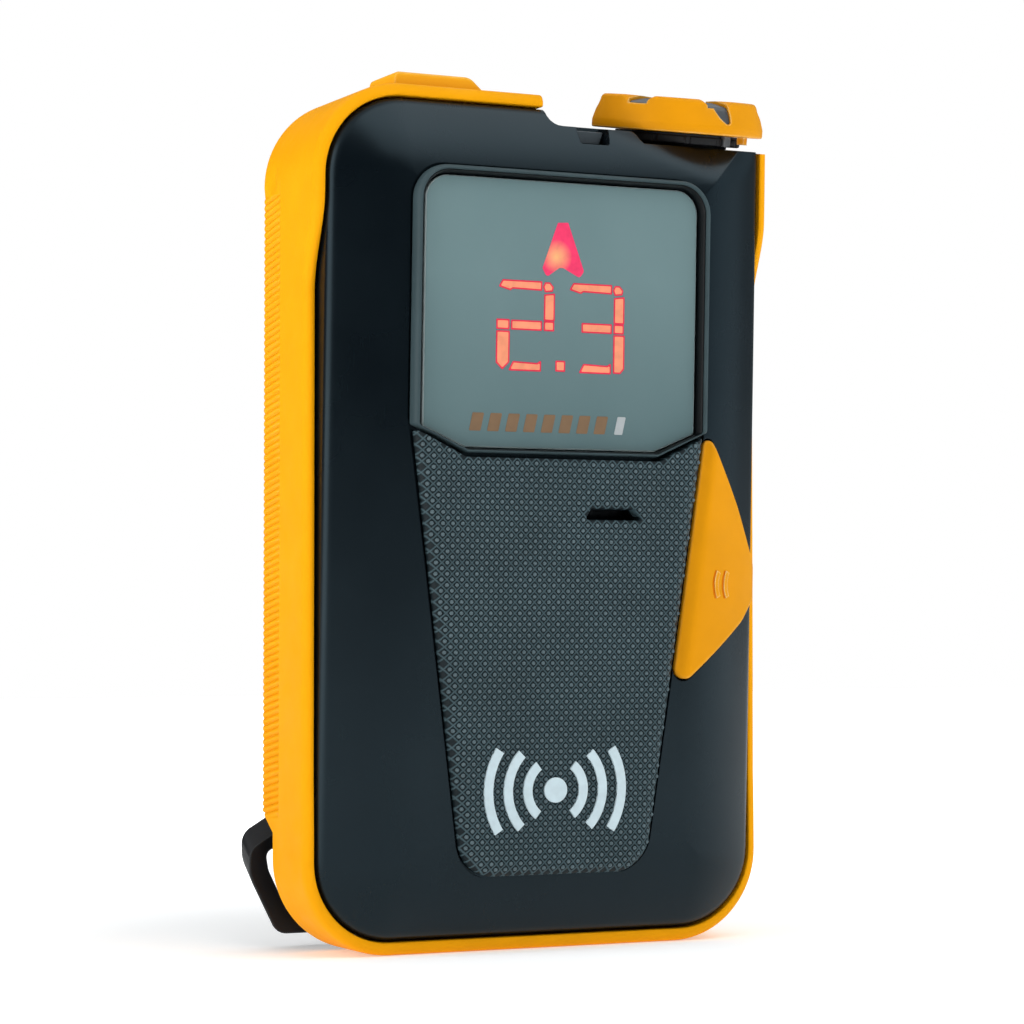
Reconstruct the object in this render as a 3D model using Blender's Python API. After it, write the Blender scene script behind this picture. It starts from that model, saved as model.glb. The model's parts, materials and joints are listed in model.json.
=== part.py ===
"""Avalanche transceiver: domed two-part housing in a rubber bumper, rotary mode dial, sprung buttons, battery bay.

Lengths here are in millimetres and are turned into metres where a mesh is made. +Z is up, the face looks along
-Y and +X is the user's right. The origin is the middle of the flat bottom of the bumper.
"""

import math

import bmesh
import bpy
from mathutils import Vector

MM = 0.001
GAP = 0.3
LEAST_RADIUS = 0.2
CORNER_STEPS = 5
ROUND_STEPS = 18

# Housing
BODY_HEIGHT = 120.0
SHELL_HALF_WIDTH = 33.7
SHELL_LOW = 2.2
SHELL_HIGH = BODY_HEIGHT - SHELL_LOW
SHELL_CORNER = 11.0
SHELL_WALL = 2.0
FRONT_WALL = 2.8
REAR_WALL = 3.0
FACE_LOW_Y = -6.4
FACE_HIGH_Y = -10.5
BACK_Y = 13.5
PARTING_Y = 5.3
DOME_RISE = 4.4
DOME_REACH = 14.0

# Bumper
BUMPER_HALF_WIDTH = 35.5
BUMPER_CORNER = 13.0
BUMPER_BACK_Y = 9.5
BUMPER_SIDE_Y = -6.2
SHOULDER_LOW = 91.0
SHOULDER_HIGH = 104.0

# Raised middle of the face, as heights over the plane through the edge of the face
ISLAND_HEIGHT = 5.9
ISLAND_BACK = 4.0
ISLAND_FLOOR = 3.7
LENS_FLOOR = 2.7
LENS_BACK = 3.6
LENS_FRONT = 4.5
LENS_HALF_WIDTH = 21.2
LENS_LOW = 69.8
LENS_HIGH = 107.0
PAD_LOW = 10.8
BEZEL_WIDTH = 1.7

# Mode dial, tilted forward about X
DIAL_TILT = 10.0
DIAL_CENTRE = (24.8, -2.0, 117.5)
DIAL_RADIUS = 12.5
DIAL_HEIGHT = 4.9
DIAL_ARMS = 6
SHAFT_RADIUS = 2.5
NOTCH_LOW = 114.0
NOTCH_STEP = 115.6

# Buttons
BUTTON_PROUD = 0.9
BUTTON_STEM = (25.8, 52.0)
LOCK_STEM = (-15.5, -2.0)
LOCK_FRONT_Y = -6.5
LOCK_BACK_Y = 2.5
LOCK_TOP = 122.2

# Battery bay
CELL_RADIUS = 5.25
CELL_LENGTH = 44.5
CELL_PITCH = 11.6
CELL_LOW = 12.0
CELL_Y = 5.6
DOOR_HALF_WIDTH = 20.0
DOOR_LOW = 5.9
DOOR_HIGH = 61.5
DOOR_FRONT_Y = 12.3
HINGE_Y = 12.0
HINGE_Z = 64.0
DOOR_SCREW_Z = 9.0

# Fasteners
CASE_SCREWS = ((-24.0, 12.0), (24.0, 12.0), (-27.0, 96.0), (27.0, 96.0))
BOARD_SCREWS = ((-22.5, 84.0), (22.5, 25.0))
BOARD_FRONT_Y = -3.6
BOARD_BACK_Y = -2.0


# ---------------------------------------------------------------- outlines


def offset(corners, distance):
    """Moves each side of a counter-clockwise outline of (x, z, radius) outwards; a negative distance shrinks it."""
    moved = []
    for index, (x, z, radius) in enumerate(corners):
        before = corners[index - 1]
        after = corners[(index + 1) % len(corners)]
        into = Vector((x - before[0], z - before[1])).normalized()
        onward = Vector((after[0] - x, after[1] - z)).normalized()
        normal_in = Vector((into.y, -into.x))
        normal_out = Vector((onward.y, -onward.x))
        shift = (normal_in + normal_out) * (distance / (1 + normal_in.dot(normal_out)))
        if radius:
            turn = into.x * onward.y - into.y * onward.x
            radius = max(radius + distance * math.copysign(1.0, turn), LEAST_RADIUS)
        moved.append((x + shift.x, z + shift.y, radius))
    return moved


def rounded(corners, steps=CORNER_STEPS):
    """The points of an outline of (x, z, radius): an arc at each corner, or one point where the radius is 0."""
    points = []
    for index, (x, z, radius) in enumerate(corners):
        if not radius:
            points.append((x, z))
            continue
        before = corners[index - 1]
        after = corners[(index + 1) % len(corners)]
        into = Vector((x - before[0], z - before[1])).normalized()
        onward = Vector((after[0] - x, after[1] - z)).normalized()
        turn = math.atan2(into.x * onward.y - into.y * onward.x, into.dot(onward))
        reach = radius * math.tan(abs(turn) / 2)
        side = math.copysign(1.0, turn)
        centre = Vector((x, z)) - into * reach + Vector((-into.y, into.x)) * radius * side
        start = math.atan2(-into.x * side, into.y * side)
        for step in range(steps + 1):
            angle = start + turn * step / steps
            points.append((centre.x + radius * math.cos(angle), centre.y + radius * math.sin(angle)))
    return points


def box_outline(half_width, low, high, radius, top_right=None):
    """Corners of an upright rectangle, counter-clockwise from the bottom left."""
    top_right = radius if top_right is None else top_right
    return [
        (-half_width, low, radius),
        (half_width, low, radius),
        (half_width, high, top_right),
        (-half_width, high, radius),
    ]


def circle(centre, radius, steps=ROUND_STEPS):
    return [
        (centre[0] + radius * math.cos(2 * math.pi * i / steps), centre[1] + radius * math.sin(2 * math.pi * i / steps))
        for i in range(steps)
    ]


# ------------------------------------------------------------------ solids, each a pair of points and faces


def face_y(z):
    """The plane through the edge of the face, which leans forward towards the top."""
    return FACE_LOW_Y + (FACE_HIGH_Y - FACE_LOW_Y) * (z - SHELL_LOW) / (SHELL_HIGH - SHELL_LOW)


def dome(inset):
    """How far the face rises at this distance in from its edge."""
    return DOME_RISE * (1 - (1 - min(inset / DOME_REACH, 1.0)) ** 2)


def flat_loop(points, y):
    return [(x, y, z) for x, z in points]


def face_loop(points, height):
    """A loop that lies at this height over the leaning plane of the face."""
    return [(x, face_y(z) - height, z) for x, z in points]


def loft(loops, ring=False):
    """A skin over loops with equal counts, capped at both ends, or joined end to start to make a ring."""
    count = len(loops[0])
    points = [point for loop in loops for point in loop]
    faces = []
    spans = len(loops) if ring else len(loops) - 1
    for row in range(spans):
        here = row * count
        there = (row + 1) % len(loops) * count
        for i in range(count):
            j = (i + 1) % count
            faces.append((here + i, here + j, there + j, there + i))
    if not ring:
        faces.append(tuple(range(count)))
        faces.append(tuple(range(len(points) - count, len(points))))
    return points, faces


def prism(outline, front, back):
    """An outline of (x, z) run along Y."""
    return loft([flat_loop(outline, front), flat_loop(outline, back)])


def plate(outline, low, high):
    """An outline of (x, z) between two heights over the leaning plane of the face."""
    return loft([face_loop(outline, low), face_loop(outline, high)])


def block(low, high):
    return prism([(low[0], low[2]), (high[0], low[2]), (high[0], high[2]), (low[0], high[2])], low[1], high[1])


def across(start, end):
    """Two unit vectors square to the line from start to end."""
    along = (Vector(end) - Vector(start)).normalized()
    helper = Vector((1, 0, 0)) if abs(along.x) < 0.9 else Vector((0, 1, 0))
    first = along.cross(helper).normalized()
    return first, along.cross(first)


def disc_loop(centre, first, second, radius, steps):
    loop = []
    for i in range(steps):
        angle = 2 * math.pi * i / steps
        loop.append(tuple(Vector(centre) + first * radius * math.cos(angle) + second * radius * math.sin(angle)))
    return loop


def turned(start, end, profile, ring=False, steps=ROUND_STEPS):
    """A shape turned about the line from start to end; profile lists (radius, distance from start)."""
    along = (Vector(end) - Vector(start)).normalized()
    first, second = across(start, end)
    loops = [disc_loop(Vector(start) + along * reach, first, second, radius, steps) for radius, reach in profile]
    return loft(loops, ring)


def rod(start, end, radius, steps=ROUND_STEPS):
    length = (Vector(end) - Vector(start)).length
    return turned(start, end, [(radius, 0), (radius, length)], steps=steps)


def tube(start, end, outer, inner, steps=ROUND_STEPS):
    length = (Vector(end) - Vector(start)).length
    profile = [(inner, 0), (outer, 0), (outer, length), (inner, length)]
    return turned(start, end, profile, ring=True, steps=steps)


def screw(x, z, head_y, tip_y, head=2.5, shank=1.25, depth=1.6):
    """A screw along Y with its head towards +Y and a round drive recess."""
    length = head_y - tip_y
    profile = [
        (0.9, 0.9),
        (1.2, 0),
        (head - 0.3, 0),
        (head, 0.3),
        (head, depth),
        (shank, depth),
        (shank, length - 0.8),
        (0.5, length),
    ]
    return turned((x, head_y, z), (x, tip_y, z), profile, steps=16)


# ----------------------------------------------------------------- objects


def clear_scene():
    for item in list(bpy.data.objects):
        bpy.data.objects.remove(item, do_unlink=True)


def material(name, colour, roughness, metallic=0.0):
    made = bpy.data.materials.get(name)
    if made is None:
        made = bpy.data.materials.new(name)
        made.use_nodes = True
        shader = made.node_tree.nodes["Principled BSDF"]
        shader.inputs["Base Color"].default_value = (*colour, 1.0)
        shader.inputs["Roughness"].default_value = roughness
        shader.inputs["Metallic"].default_value = metallic
        made.diffuse_color = (*colour, 1.0)
    return made


def mesh_of(name, *solids):
    """One mesh in metres holding these solids, with every face turned outwards."""
    points = []
    faces = []
    for solid_points, solid_faces in solids:
        first = len(points)
        points += [tuple(value * MM for value in point) for point in solid_points]
        faces += [tuple(first + index for index in face) for face in solid_faces]
    mesh = bpy.data.meshes.new(name)
    mesh.from_pydata(points, [], faces)
    work = bmesh.new()
    work.from_mesh(mesh)
    bmesh.ops.recalc_face_normals(work, faces=work.faces)
    work.to_mesh(mesh)
    work.free()
    return mesh


def piece(name, solid, look, pivot=None, parent=None):
    """A node of the model. A piece that moves gets its origin on its joint's axis."""
    mesh = mesh_of(name, solid)
    made = bpy.data.objects.new(name, mesh)
    bpy.context.scene.collection.objects.link(made)
    mesh.materials.append(look)
    mesh.shade_smooth()
    mesh.set_sharp_from_angle(angle=math.radians(35))
    if pivot is not None:
        place = Vector(pivot) * MM
        for vertex in mesh.vertices:
            vertex.co -= place
        made.location = place
    made.parent = parent
    return made


def cutter(name, *solids, parent=None):
    made = bpy.data.objects.new(name, mesh_of(name, *solids))
    bpy.context.scene.collection.objects.link(made)
    made.hide_render = True
    made.display_type = "WIRE"
    made.parent = parent
    return made


def combine(made, other, operation):
    step = made.modifiers.new(other.name, "BOOLEAN")
    step.object = other
    step.operation = operation
    step.solver = "EXACT"


# ---------------------------------------------------------------- outlines of the real pieces


def shell_corners():
    return box_outline(SHELL_HALF_WIDTH, SHELL_LOW, SHELL_HIGH, SHELL_CORNER, top_right=1.2)


def bumper_corners():
    """The bumper's outline has extra points up its sides, where its front edge steps forward."""
    steps = [SHOULDER_LOW + (SHOULDER_HIGH - SHOULDER_LOW) * i / 6 for i in range(7)]
    half = BUMPER_HALF_WIDTH
    corners = [(-half, 0.0, BUMPER_CORNER), (half, 0.0, BUMPER_CORNER), (half, 24.0, 0)]
    corners += [(half, z, 0) for z in steps]
    corners += [(half, BODY_HEIGHT, 1.2), (-half, BODY_HEIGHT, BUMPER_CORNER)]
    corners += [(-half, z, 0) for z in reversed(steps)]
    corners.append((-half, 24.0, 0))
    return corners


def bumper_front(z):
    """The bumper's front edge: level with the face round the top, set back down the sides, level again below."""
    if z >= SHOULDER_LOW:
        part = min((z - SHOULDER_LOW) / (SHOULDER_HIGH - SHOULDER_LOW), 1.0)
        blend = part * part * (3 - 2 * part)
        return BUMPER_SIDE_Y + (face_y(z) + 0.2 - BUMPER_SIDE_Y) * blend
    part = max(1 - z / 24.0, 0.0)
    return BUMPER_SIDE_Y + (face_y(z) + 0.2 - BUMPER_SIDE_Y) * part


def bezel_corners(grow):
    """The frame round the lens, with its lower corners cut off; grow is its width over the lens's outline."""
    half = LENS_HALF_WIDTH + grow
    low = LENS_LOW - grow * 0.7
    high = LENS_HIGH + grow * 0.75
    return [
        (-14.8, low, 0.4),
        (14.8, low, 0.4),
        (half, low + 2.7 + grow * 0.6, 0.4),
        (half, high, 3.4 + grow * 0.8),
        (-half, high, 3.4 + grow * 0.8),
        (-half, low + 2.7 + grow * 0.6, 0.4),
    ]


def pad_corners():
    """The tapered grip pad; its top edge follows the bezel's cut lower corners."""
    return [
        (-14.2, PAD_LOW, 5.5),
        (14.2, PAD_LOW, 5.5),
        (22.5, 71.75, 0.3),
        (14.75, 68.0, 0.3),
        (-14.75, 68.0, 0.3),
        (-22.5, 71.75, 0.3),
    ]


def island_corners():
    """The bezel and the pad together."""
    bezel = bezel_corners(BEZEL_WIDTH)
    half = bezel[3][0]
    return pad_corners()[:2] + [(half, 74.0, 0.4), bezel[3], bezel[4], (-half, 74.0, 0.4)]


def button_corners():
    return [
        (18.25, 35.9, 1.4),
        (30.8, 46.0, 1.2),
        (33.3, 49.2, 2.0),
        (33.3, 54.2, 3.0),
        (29.4, 62.4, 8.0),
        (23.28, 73.4, 0.8),
    ]


def slot_outline():
    return [(3.4, 60.1), (12.2, 60.1), (11.1, 61.6), (4.3, 61.6)]


# ------------------------------------------------------------------ housing


def notch(drop, name, margin=0.0):
    """The cut that lowers the top right of the housing for the dial; it rises towards the back with the dial."""
    slope = math.tan(math.radians(DIAL_TILT))
    low = NOTCH_LOW - drop
    step = NOTCH_STEP - drop
    outline = [
        (-1.2 - margin, 140.0),
        (-1.2 - margin, step + 1.9),
        (-0.7 - margin, step + 0.8),
        (0.2 - margin, step + 0.1),
        (1.2 - margin, step),
        (12.6 - margin, step),
        (13.8 - margin, low),
        (60.0, low),
        (60.0, 140.0),
    ]
    loops = []
    for y in (-30.0, PARTING_Y + 30.0):
        rise = (y - FACE_HIGH_Y) * slope
        loops.append([(x, y, z + rise) for x, z in outline])
    return cutter(name, loft(loops))


def face_rings(first_y, lift):
    """Loops from an open edge at first_y over the side wall and across the domed face, lift mm above the surface."""
    corners = shell_corners()
    loops = [flat_loop(rounded(corners), first_y)]
    loops.append(face_loop(rounded(corners), -0.9 + lift))
    for inset, height in ((0.25, -0.3), (0.8, 0.22)):
        loops.append(face_loop(rounded(offset(corners, -inset)), height + lift))
    for inset in (2.0, 4.5, 7.5, 10.2, DOME_REACH):
        loops.append(face_loop(rounded(offset(corners, -inset)), dome(inset) + lift))
    return loops


def dome_slab(low, high):
    """A slab that follows the domed face between two lifts, wider than the housing."""
    corners = shell_corners()
    loops = []
    for lift, insets in ((low, (DOME_REACH, 10.2, 7.5, 4.5, 2.0)), (high, (2.0, 4.5, 7.5, 10.2, DOME_REACH))):
        rings = [face_loop(rounded(offset(corners, -inset)), dome(inset) + lift) for inset in insets]
        skirt = face_loop(rounded(offset(corners, 2.0)), dome(0.0) - 0.9 + lift)
        loops += rings + [skirt] if lift == low else [skirt] + rings
    return loft(loops)


def make_front_shell(look, dial_axis):
    shell = piece("front_shell", loft(face_rings(PARTING_Y, 0.0)), look)
    inner = [flat_loop(rounded(offset(shell_corners(), -SHELL_WALL)), PARTING_Y + 5.0)]
    for inset in (SHELL_WALL, 4.5, 7.5, 10.2, DOME_REACH):
        inner.append(face_loop(rounded(offset(shell_corners(), -inset)), dome(inset) - FRONT_WALL))
    cavity = cutter("front_cavity", loft(inner))
    combine(cavity, notch(2.2, "cavity_notch", margin=2.0), "DIFFERENCE")
    combine(shell, cavity, "DIFFERENCE")
    posts = []
    for x, z in CASE_SCREWS:
        posts.append(rod((x, face_y(z) - 2.2, z), (x, PARTING_Y, z), 3.2))
    for x, z in BOARD_SCREWS:
        posts.append(rod((x, face_y(z) - 2.6, z), (x, BOARD_FRONT_Y - GAP, z), 2.6))
    combine(shell, cutter("posts", *posts), "UNION")
    boss = cutter("dial_boss", rod((0, 0, -7.2), (0, 0, -3.5), 5.2), parent=dial_axis)
    combine(shell, boss, "UNION")
    combine(shell, notch(0.0, "top_notch"), "DIFFERENCE")
    bore = cutter(
        "dial_bore",
        turned((0, 0, -9), (0, 0, 2), [(2.65, 0), (2.65, 5.0), (4.3, 5.0), (4.3, 11.0)]),
        parent=dial_axis,
    )
    combine(shell, bore, "DIFFERENCE")
    holes = [plate(rounded(offset(island_corners(), GAP)), ISLAND_FLOOR, 9.0)]
    for x, z in CASE_SCREWS:
        holes.append(rod((x, -4.5, z), (x, PARTING_Y + 1, z), 1.5, steps=16))
    for x, z in BOARD_SCREWS:
        holes.append(rod((x, face_y(z) - 0.3, z), (x, BOARD_FRONT_Y + 1, z), 1.5, steps=16))
    combine(shell, cutter("front_holes", *holes), "DIFFERENCE")
    ledge = plate(rounded(bezel_corners(GAP)), LENS_FLOOR, 9.0)
    combine(shell, cutter("lens_seat", ledge), "DIFFERENCE")
    window = plate(rounded(box_outline(18.3, 73.2, 104.0, 2.0)), -4.0, 9.0)
    slot = plate(slot_outline(), -4.0, 9.0)
    stem_x, stem_z = BUTTON_STEM
    stem_hole = rod((stem_x, -20.0, stem_z), (stem_x, -5.0, stem_z), 2.2)
    combine(shell, cutter("windows", window, slot, stem_hole), "DIFFERENCE")
    pocket = cutter("button_pocket", prism(rounded(offset(button_corners(), 0.32)), -30.0, 0.0))
    combine(pocket, cutter("button_pocket_depth", dome_slab(-1.9, 8.0)), "INTERSECT")
    combine(shell, pocket, "DIFFERENCE")
    lock_hole = rod((*LOCK_STEM, 105.0), (*LOCK_STEM, 125.0), 1.8, steps=16)
    combine(shell, cutter("lock_hole", lock_hole), "DIFFERENCE")
    recess = loft(
        [
            [(2.9, -30.0, 112.6), (8.4, -30.0, 112.6), (9.4, -30.0, 120.0), (2.2, -30.0, 120.0)],
            [(3.4, -9.0, 113.1), (7.9, -9.0, 113.1), (8.9, -7.6, 120.0), (2.7, -7.6, 120.0)],
        ]
    )
    combine(shell, cutter("status_recess", recess), "DIFFERENCE")
    scoop = turned((25.0, -25.0, 121.5), (25.0, -6.0, 116.0), [(13.0, 0), (12.0, 7), (9.5, 12), (5.0, 15.0)])
    combine(shell, cutter("thumb_scoop", scoop), "DIFFERENCE")


def make_rear_shell(look, dial_axis):
    corners = shell_corners()
    corners[2] = (SHELL_HALF_WIDTH, SHELL_HIGH, 3.0)
    round_over = 4.0
    loops = [flat_loop(rounded(corners), PARTING_Y + GAP)]
    for step in range(5):
        angle = math.radians(90 * step / 4)
        inset = round_over * (1 - math.cos(angle))
        y = BACK_Y - round_over + round_over * math.sin(angle)
        loops.append(flat_loop(rounded(offset(corners, -inset)), y))
    shell = piece("rear_shell", loft(loops), look)
    inner = rounded(offset(corners, -SHELL_WALL))
    lip = rounded(offset(corners, -0.8))
    smaller = rounded(offset(corners, -SHELL_WALL - 1.6))
    cavity = loft(
        [
            flat_loop(lip, PARTING_Y - 2),
            flat_loop(lip, PARTING_Y + 1.7),
            flat_loop(inner, PARTING_Y + 1.7),
            flat_loop(inner, BACK_Y - REAR_WALL - 1.4),
            flat_loop(smaller, BACK_Y - REAR_WALL),
        ]
    )
    combine(shell, cutter("rear_cavity", cavity), "DIFFERENCE")
    fill = [block((-16.0, 9.4, 62.6), (16.0, 11.5, 66.2)), block((-4.0, 9.0, 5.0), (4.0, 11.0, 11.5))]
    corner_block = box_outline_at(-32.6, -20.8, 3.0, 19.6, 0.6)
    corner_block[0] = (-32.6, 3.0, 10.2)
    corner_fill = prism(rounded(corner_block), 6.8, 11.5)
    for x, z in CASE_SCREWS[1:]:
        fill.append(tube((x, PARTING_Y + GAP, z), (x, 11.5, z), 3.2, 1.8))
    combine(shell, cutter("rear_fill", corner_fill, *fill), "UNION")
    seat = prism(rounded(box_outline(DOOR_HALF_WIDTH + GAP, DOOR_LOW - GAP, 62.4, 1.5)), 11.4, 20.0)
    combine(shell, cutter("door_seat", seat), "DIFFERENCE")
    bay = prism(rounded(box_outline(17.3, 12.0, 58.6, 1.0)), 4.0, 20.0)
    combine(shell, cutter("battery_opening", bay), "DIFFERENCE")
    cuts = [block((side * 10 - 2.4, 8.0, 60.9), (side * 10 + 2.4, 20.0, 66.0)) for side in (-1, 1)]
    combine(shell, cutter("hinge_pockets", *cuts), "DIFFERENCE")
    pin_hole = rod((-14.5, HINGE_Y, HINGE_Z), (14.5, HINGE_Y, HINGE_Z), 0.75, steps=16)
    combine(shell, cutter("hinge_pin_hole", pin_hole), "DIFFERENCE")
    combine(shell, cutter("lug_seat", lug_seat()), "DIFFERENCE")
    combine(shell, cutter("leash_channel", leash_channel()), "DIFFERENCE")
    dial_room = cutter("dial_room", rod((0, 0, -2.3), (0, 0, 9.0), 9.9, steps=36), parent=dial_axis)
    combine(shell, dial_room, "DIFFERENCE")
    holes = [rod((0, 7.0, DOOR_SCREW_Z), (0, 12.0, DOOR_SCREW_Z), 1.7, steps=16)]
    for x, z in CASE_SCREWS[1:]:
        profile = [(1.6, 0), (1.6, 8.0), (2.9, 8.0), (2.9, 16.0)]
        holes.append(turned((x, 3.6, z), (x, 20.0, z), profile, steps=16))
    lug_x, lug_z = CASE_SCREWS[0]
    holes.append(rod((lug_x, 3.6, lug_z), (lug_x, 20.0, lug_z), 1.6, steps=16))
    combine(shell, cutter("rear_holes", *holes), "DIFFERENCE")


def box_outline_at(left, right, low, high, radius):
    return [(left, low, radius), (right, low, radius), (right, high, radius), (left, high, radius)]


def lug_seat():
    """The pocket for the lug's foot, open to the left and to the back, and deeper behind the eye for a leash."""
    foot = box_outline_at(-60.0, -21.3, 1.6, 19.0, 0.8)
    return prism(rounded(foot), 9.9, 30.0)


def leash_channel():
    """The room behind the lug's eye, through which a leash comes out past the corner."""
    return prism([(-60.0, 0.0), (-27.6, 0.0), (-27.6, 14.2), (-60.0, 14.2)], 8.0, 10.6)


def make_bumper(look):
    corners = bumper_corners()
    inner = offset(shell_corners(), GAP)
    half = inner[1][0]
    low = inner[0][1]
    high = inner[2][1]
    matched = []
    for x, z, radius in corners:
        side = math.copysign(half, x)
        if radius:
            matched.append((side, low if z < 1 else high, inner[0][2] if radius > 2 else 1.2))
        else:
            matched.append((side, z, 0))
    outer_points = rounded(corners)
    inner_points = rounded(matched)
    loops = []
    for share, forward in ((0.0, 0.0), (0.3, -0.1), (0.75, 0.5), (1.0, 1.7)):
        loops.append(between(inner_points, outer_points, share, lambda z, forward=forward: bumper_front(z) + forward))
    for share, back in ((1.0, 1.6), (0.75, 0.4), (0.3, 0.0), (0.0, 0.0)):
        loops.append(between(inner_points, outer_points, share, lambda z, back=back: BUMPER_BACK_Y - back))
    bumper = piece("side_bumper", loft(loops, ring=True), look)
    open_top = block((-1.3, -40.0, 60.0), (33.6, 40.0, 140.0))
    combine(bumper, cutter("bumper_top_gap", open_top), "DIFFERENCE")
    slope = math.tan(math.radians(DIAL_TILT))
    ends = []
    for y in (-30.0, 40.0):
        z = NOTCH_LOW - 0.2 + (y - FACE_HIGH_Y) * slope
        ends.append([(33.0, y, z), (60.0, y, z), (60.0, y, 160.0), (33.0, y, 160.0)])
    combine(bumper, cutter("bumper_side_end", loft(ends)), "DIFFERENCE")
    relief = []
    for x in (-60.0, -20.0):
        relief.append([(x, 5.2, -10.0), (x, 20.0, -10.0), (x, 20.0, 19.6), (x, BUMPER_BACK_Y, 19.6), (x, 5.2, 16.6)])
    combine(bumper, cutter("bumper_lug_relief", loft(relief)), "DIFFERENCE")
    window = block((-22.9, LOCK_FRONT_Y - 0.4, 110.0), (-8.1, LOCK_BACK_Y + 0.4, 130.0))
    combine(bumper, cutter("lock_window", window), "DIFFERENCE")


def between(inner, outer, share, depth):
    """A loop part of the way from an inner to an outer outline, at a depth that depends on z."""
    loop = []
    for (xi, zi), (xo, zo) in zip(inner, outer):
        loop.append((xi + (xo - xi) * share, depth(zi), zi + (zo - zi) * share))
    return loop


def make_shell_seal(look):
    corners = shell_corners()
    corners[2] = (SHELL_HALF_WIDTH, SHELL_HIGH, 3.0)
    outer = rounded(offset(corners, -1.05))
    inner = rounded(offset(corners, -1.75))
    loops = [
        flat_loop(inner, PARTING_Y + GAP),
        flat_loop(outer, PARTING_Y + GAP),
        flat_loop(outer, PARTING_Y + 1.4),
        flat_loop(inner, PARTING_Y + 1.4),
    ]
    piece("shell_seal", loft(loops, ring=True), look)


def make_lug(look):
    """The leash lug: a loop that stands out past the lower left corner and a foot held by a case screw."""
    front = [
        (-32.8, 2.0, 2.5),
        (-21.6, 2.0, 0.6),
        (-21.6, 16.4, 0.6),
        (-33.0, 16.4, 1.0),
        (-36.9, 14.0, 1.6),
        (-37.1, 10.5, 4.0),
    ]
    back = [
        (-31.6, 1.8, 3.6),
        (-21.6, 1.8, 0.6),
        (-21.6, 18.7, 0.6),
        (-32.8, 18.7, 1.0),
        (-37.2, 16.1, 2.0),
        (-37.1, 12.4, 3.0),
    ]
    lug = piece("lanyard_lug", loft([flat_loop(rounded(front), 10.2), flat_loop(rounded(back), 13.3)]), look)
    eye = rounded(
        [(-31.2, 5.2, 0.8), (-27.6, 5.2, 0.8), (-27.6, 14.0, 0.8), (-34.5, 14.0, 1.2), (-34.0, 11.0, 3.0)], steps=3
    )
    combine(lug, cutter("lug_eye", prism(eye, 5.0, 20.0)), "DIFFERENCE")
    x, z = CASE_SCREWS[0]
    sink = turned((x, 5.0, z), (x, 20.0, z), [(1.6, 0), (1.6, 6.0), (2.9, 6.0), (2.9, 15.0)], steps=16)
    combine(lug, cutter("lug_screw_hole", sink), "DIFFERENCE")


# ----------------------------------------------------------- screen and grip


def make_face_parts(looks):
    outer = [(BEZEL_WIDTH, ISLAND_BACK), (BEZEL_WIDTH, 5.4), (1.45, 5.75), (1.15, ISLAND_HEIGHT)]
    inner = [(0.6, ISLAND_HEIGHT), (GAP, 5.6), (GAP, ISLAND_BACK)]
    loops = [face_loop(rounded(bezel_corners(grow)), height) for grow, height in outer + inner]
    piece("screen_bezel", loft(loops, ring=True), looks["pad"])
    piece("display_lens", plate(rounded(bezel_corners(0.0)), LENS_BACK, LENS_FRONT), looks["lens"])
    hole = rounded(box_outline(18.3, 73.2, 104.0, 2.0))
    rim = rounded(box_outline(20.2, 72.0, 105.8, 3.0))
    gasket = [face_loop(hole, 2.95), face_loop(rim, 2.95), face_loop(rim, 3.3), face_loop(hole, 3.3)]
    piece("lens_gasket", loft(gasket, ring=True), looks["rubber"])
    pad_loops = []
    for inset, height in ((0.0, ISLAND_BACK), (0.0, 4.45), (1.3, 5.75), (1.7, ISLAND_HEIGHT)):
        corners = offset(pad_corners(), -inset)
        corners[2:] = [(x, z + inset, radius) for x, z, radius in corners[2:]]
        pad_loops.append(face_loop(rounded(corners), height))
    pad = piece("grip_pad", loft(pad_loops), looks["pad"])
    combine(pad, cutter("pad_slot", plate(slot_outline(), 0.0, 9.0)), "DIFFERENCE")
    mask = plate(rounded(box_outline(17.9, 73.6, 103.6, 1.6)), 2.0, 2.6)
    piece("display_mask", mask, looks["dark"])
    piece("display_module", block((-18.0, -10.0, 72.6), (18.0, -5.6, 104.4)), looks["module"])
    piece("status_lamp_window", status_window(), looks["lamp"])


def status_window():
    """The small grey lamp window in the top edge of the face."""
    return loft(
        [
            [(3.6, -10.6, 113.4), (7.8, -10.6, 113.4), (8.2, -10.4, 115.0), (3.2, -10.4, 115.0)],
            [(3.9, -9.5, 113.6), (7.5, -9.5, 113.6), (7.9, -9.3, 115.0), (3.5, -9.3, 115.0)],
        ]
    )


def make_speaker(looks):
    centre = (7.8, 60.4)
    piece("speaker_mesh", plate(circle(centre, 6.4), 1.1, 1.3), looks["steel"])
    ring = [
        face_loop(circle(centre, 5.0), 0.9),
        face_loop(circle(centre, 6.8), 0.9),
        face_loop(circle(centre, 6.8), 0.2),
        face_loop(circle(centre, 5.0), 0.2),
    ]
    piece("speaker_gasket", loft(ring, ring=True), looks["rubber"])
    loops = [
        face_loop(circle(centre, 7.2), -0.1),
        face_loop(circle(centre, 7.2), -1.6),
        face_loop(circle(centre, 4.6), -1.7),
        face_loop(circle(centre, 4.6), -3.0),
    ]
    piece("speaker", loft(loops), looks["dark"])


def make_option_button(looks):
    x, z = BUTTON_STEM
    pivot = (x, face_y(z), z)
    button = piece("option_button", prism(rounded(button_corners()), -30.0, 0.0), looks["orange"], pivot=pivot)
    combine(button, cutter("button_thickness", dome_slab(-0.7, BUTTON_PROUD)), "INTERSECT")
    stem = rod((x, face_y(z) - 3.8, z), (x, -7.5, z), 1.6)
    combine(button, cutter("button_stem", stem), "UNION")
    body = block((x - 3.0, -6.2, z - 3.0), (x + 3.0, BOARD_FRONT_Y - GAP, z + 3.0))
    switch = piece("option_switch", body, looks["dark"])
    combine(switch, cutter("switch_plunger", rod((x, -6.6, z), (x, -5.0, z), 1.5, steps=16)), "UNION")


# ---------------------------------------------------------------- mode dial


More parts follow.
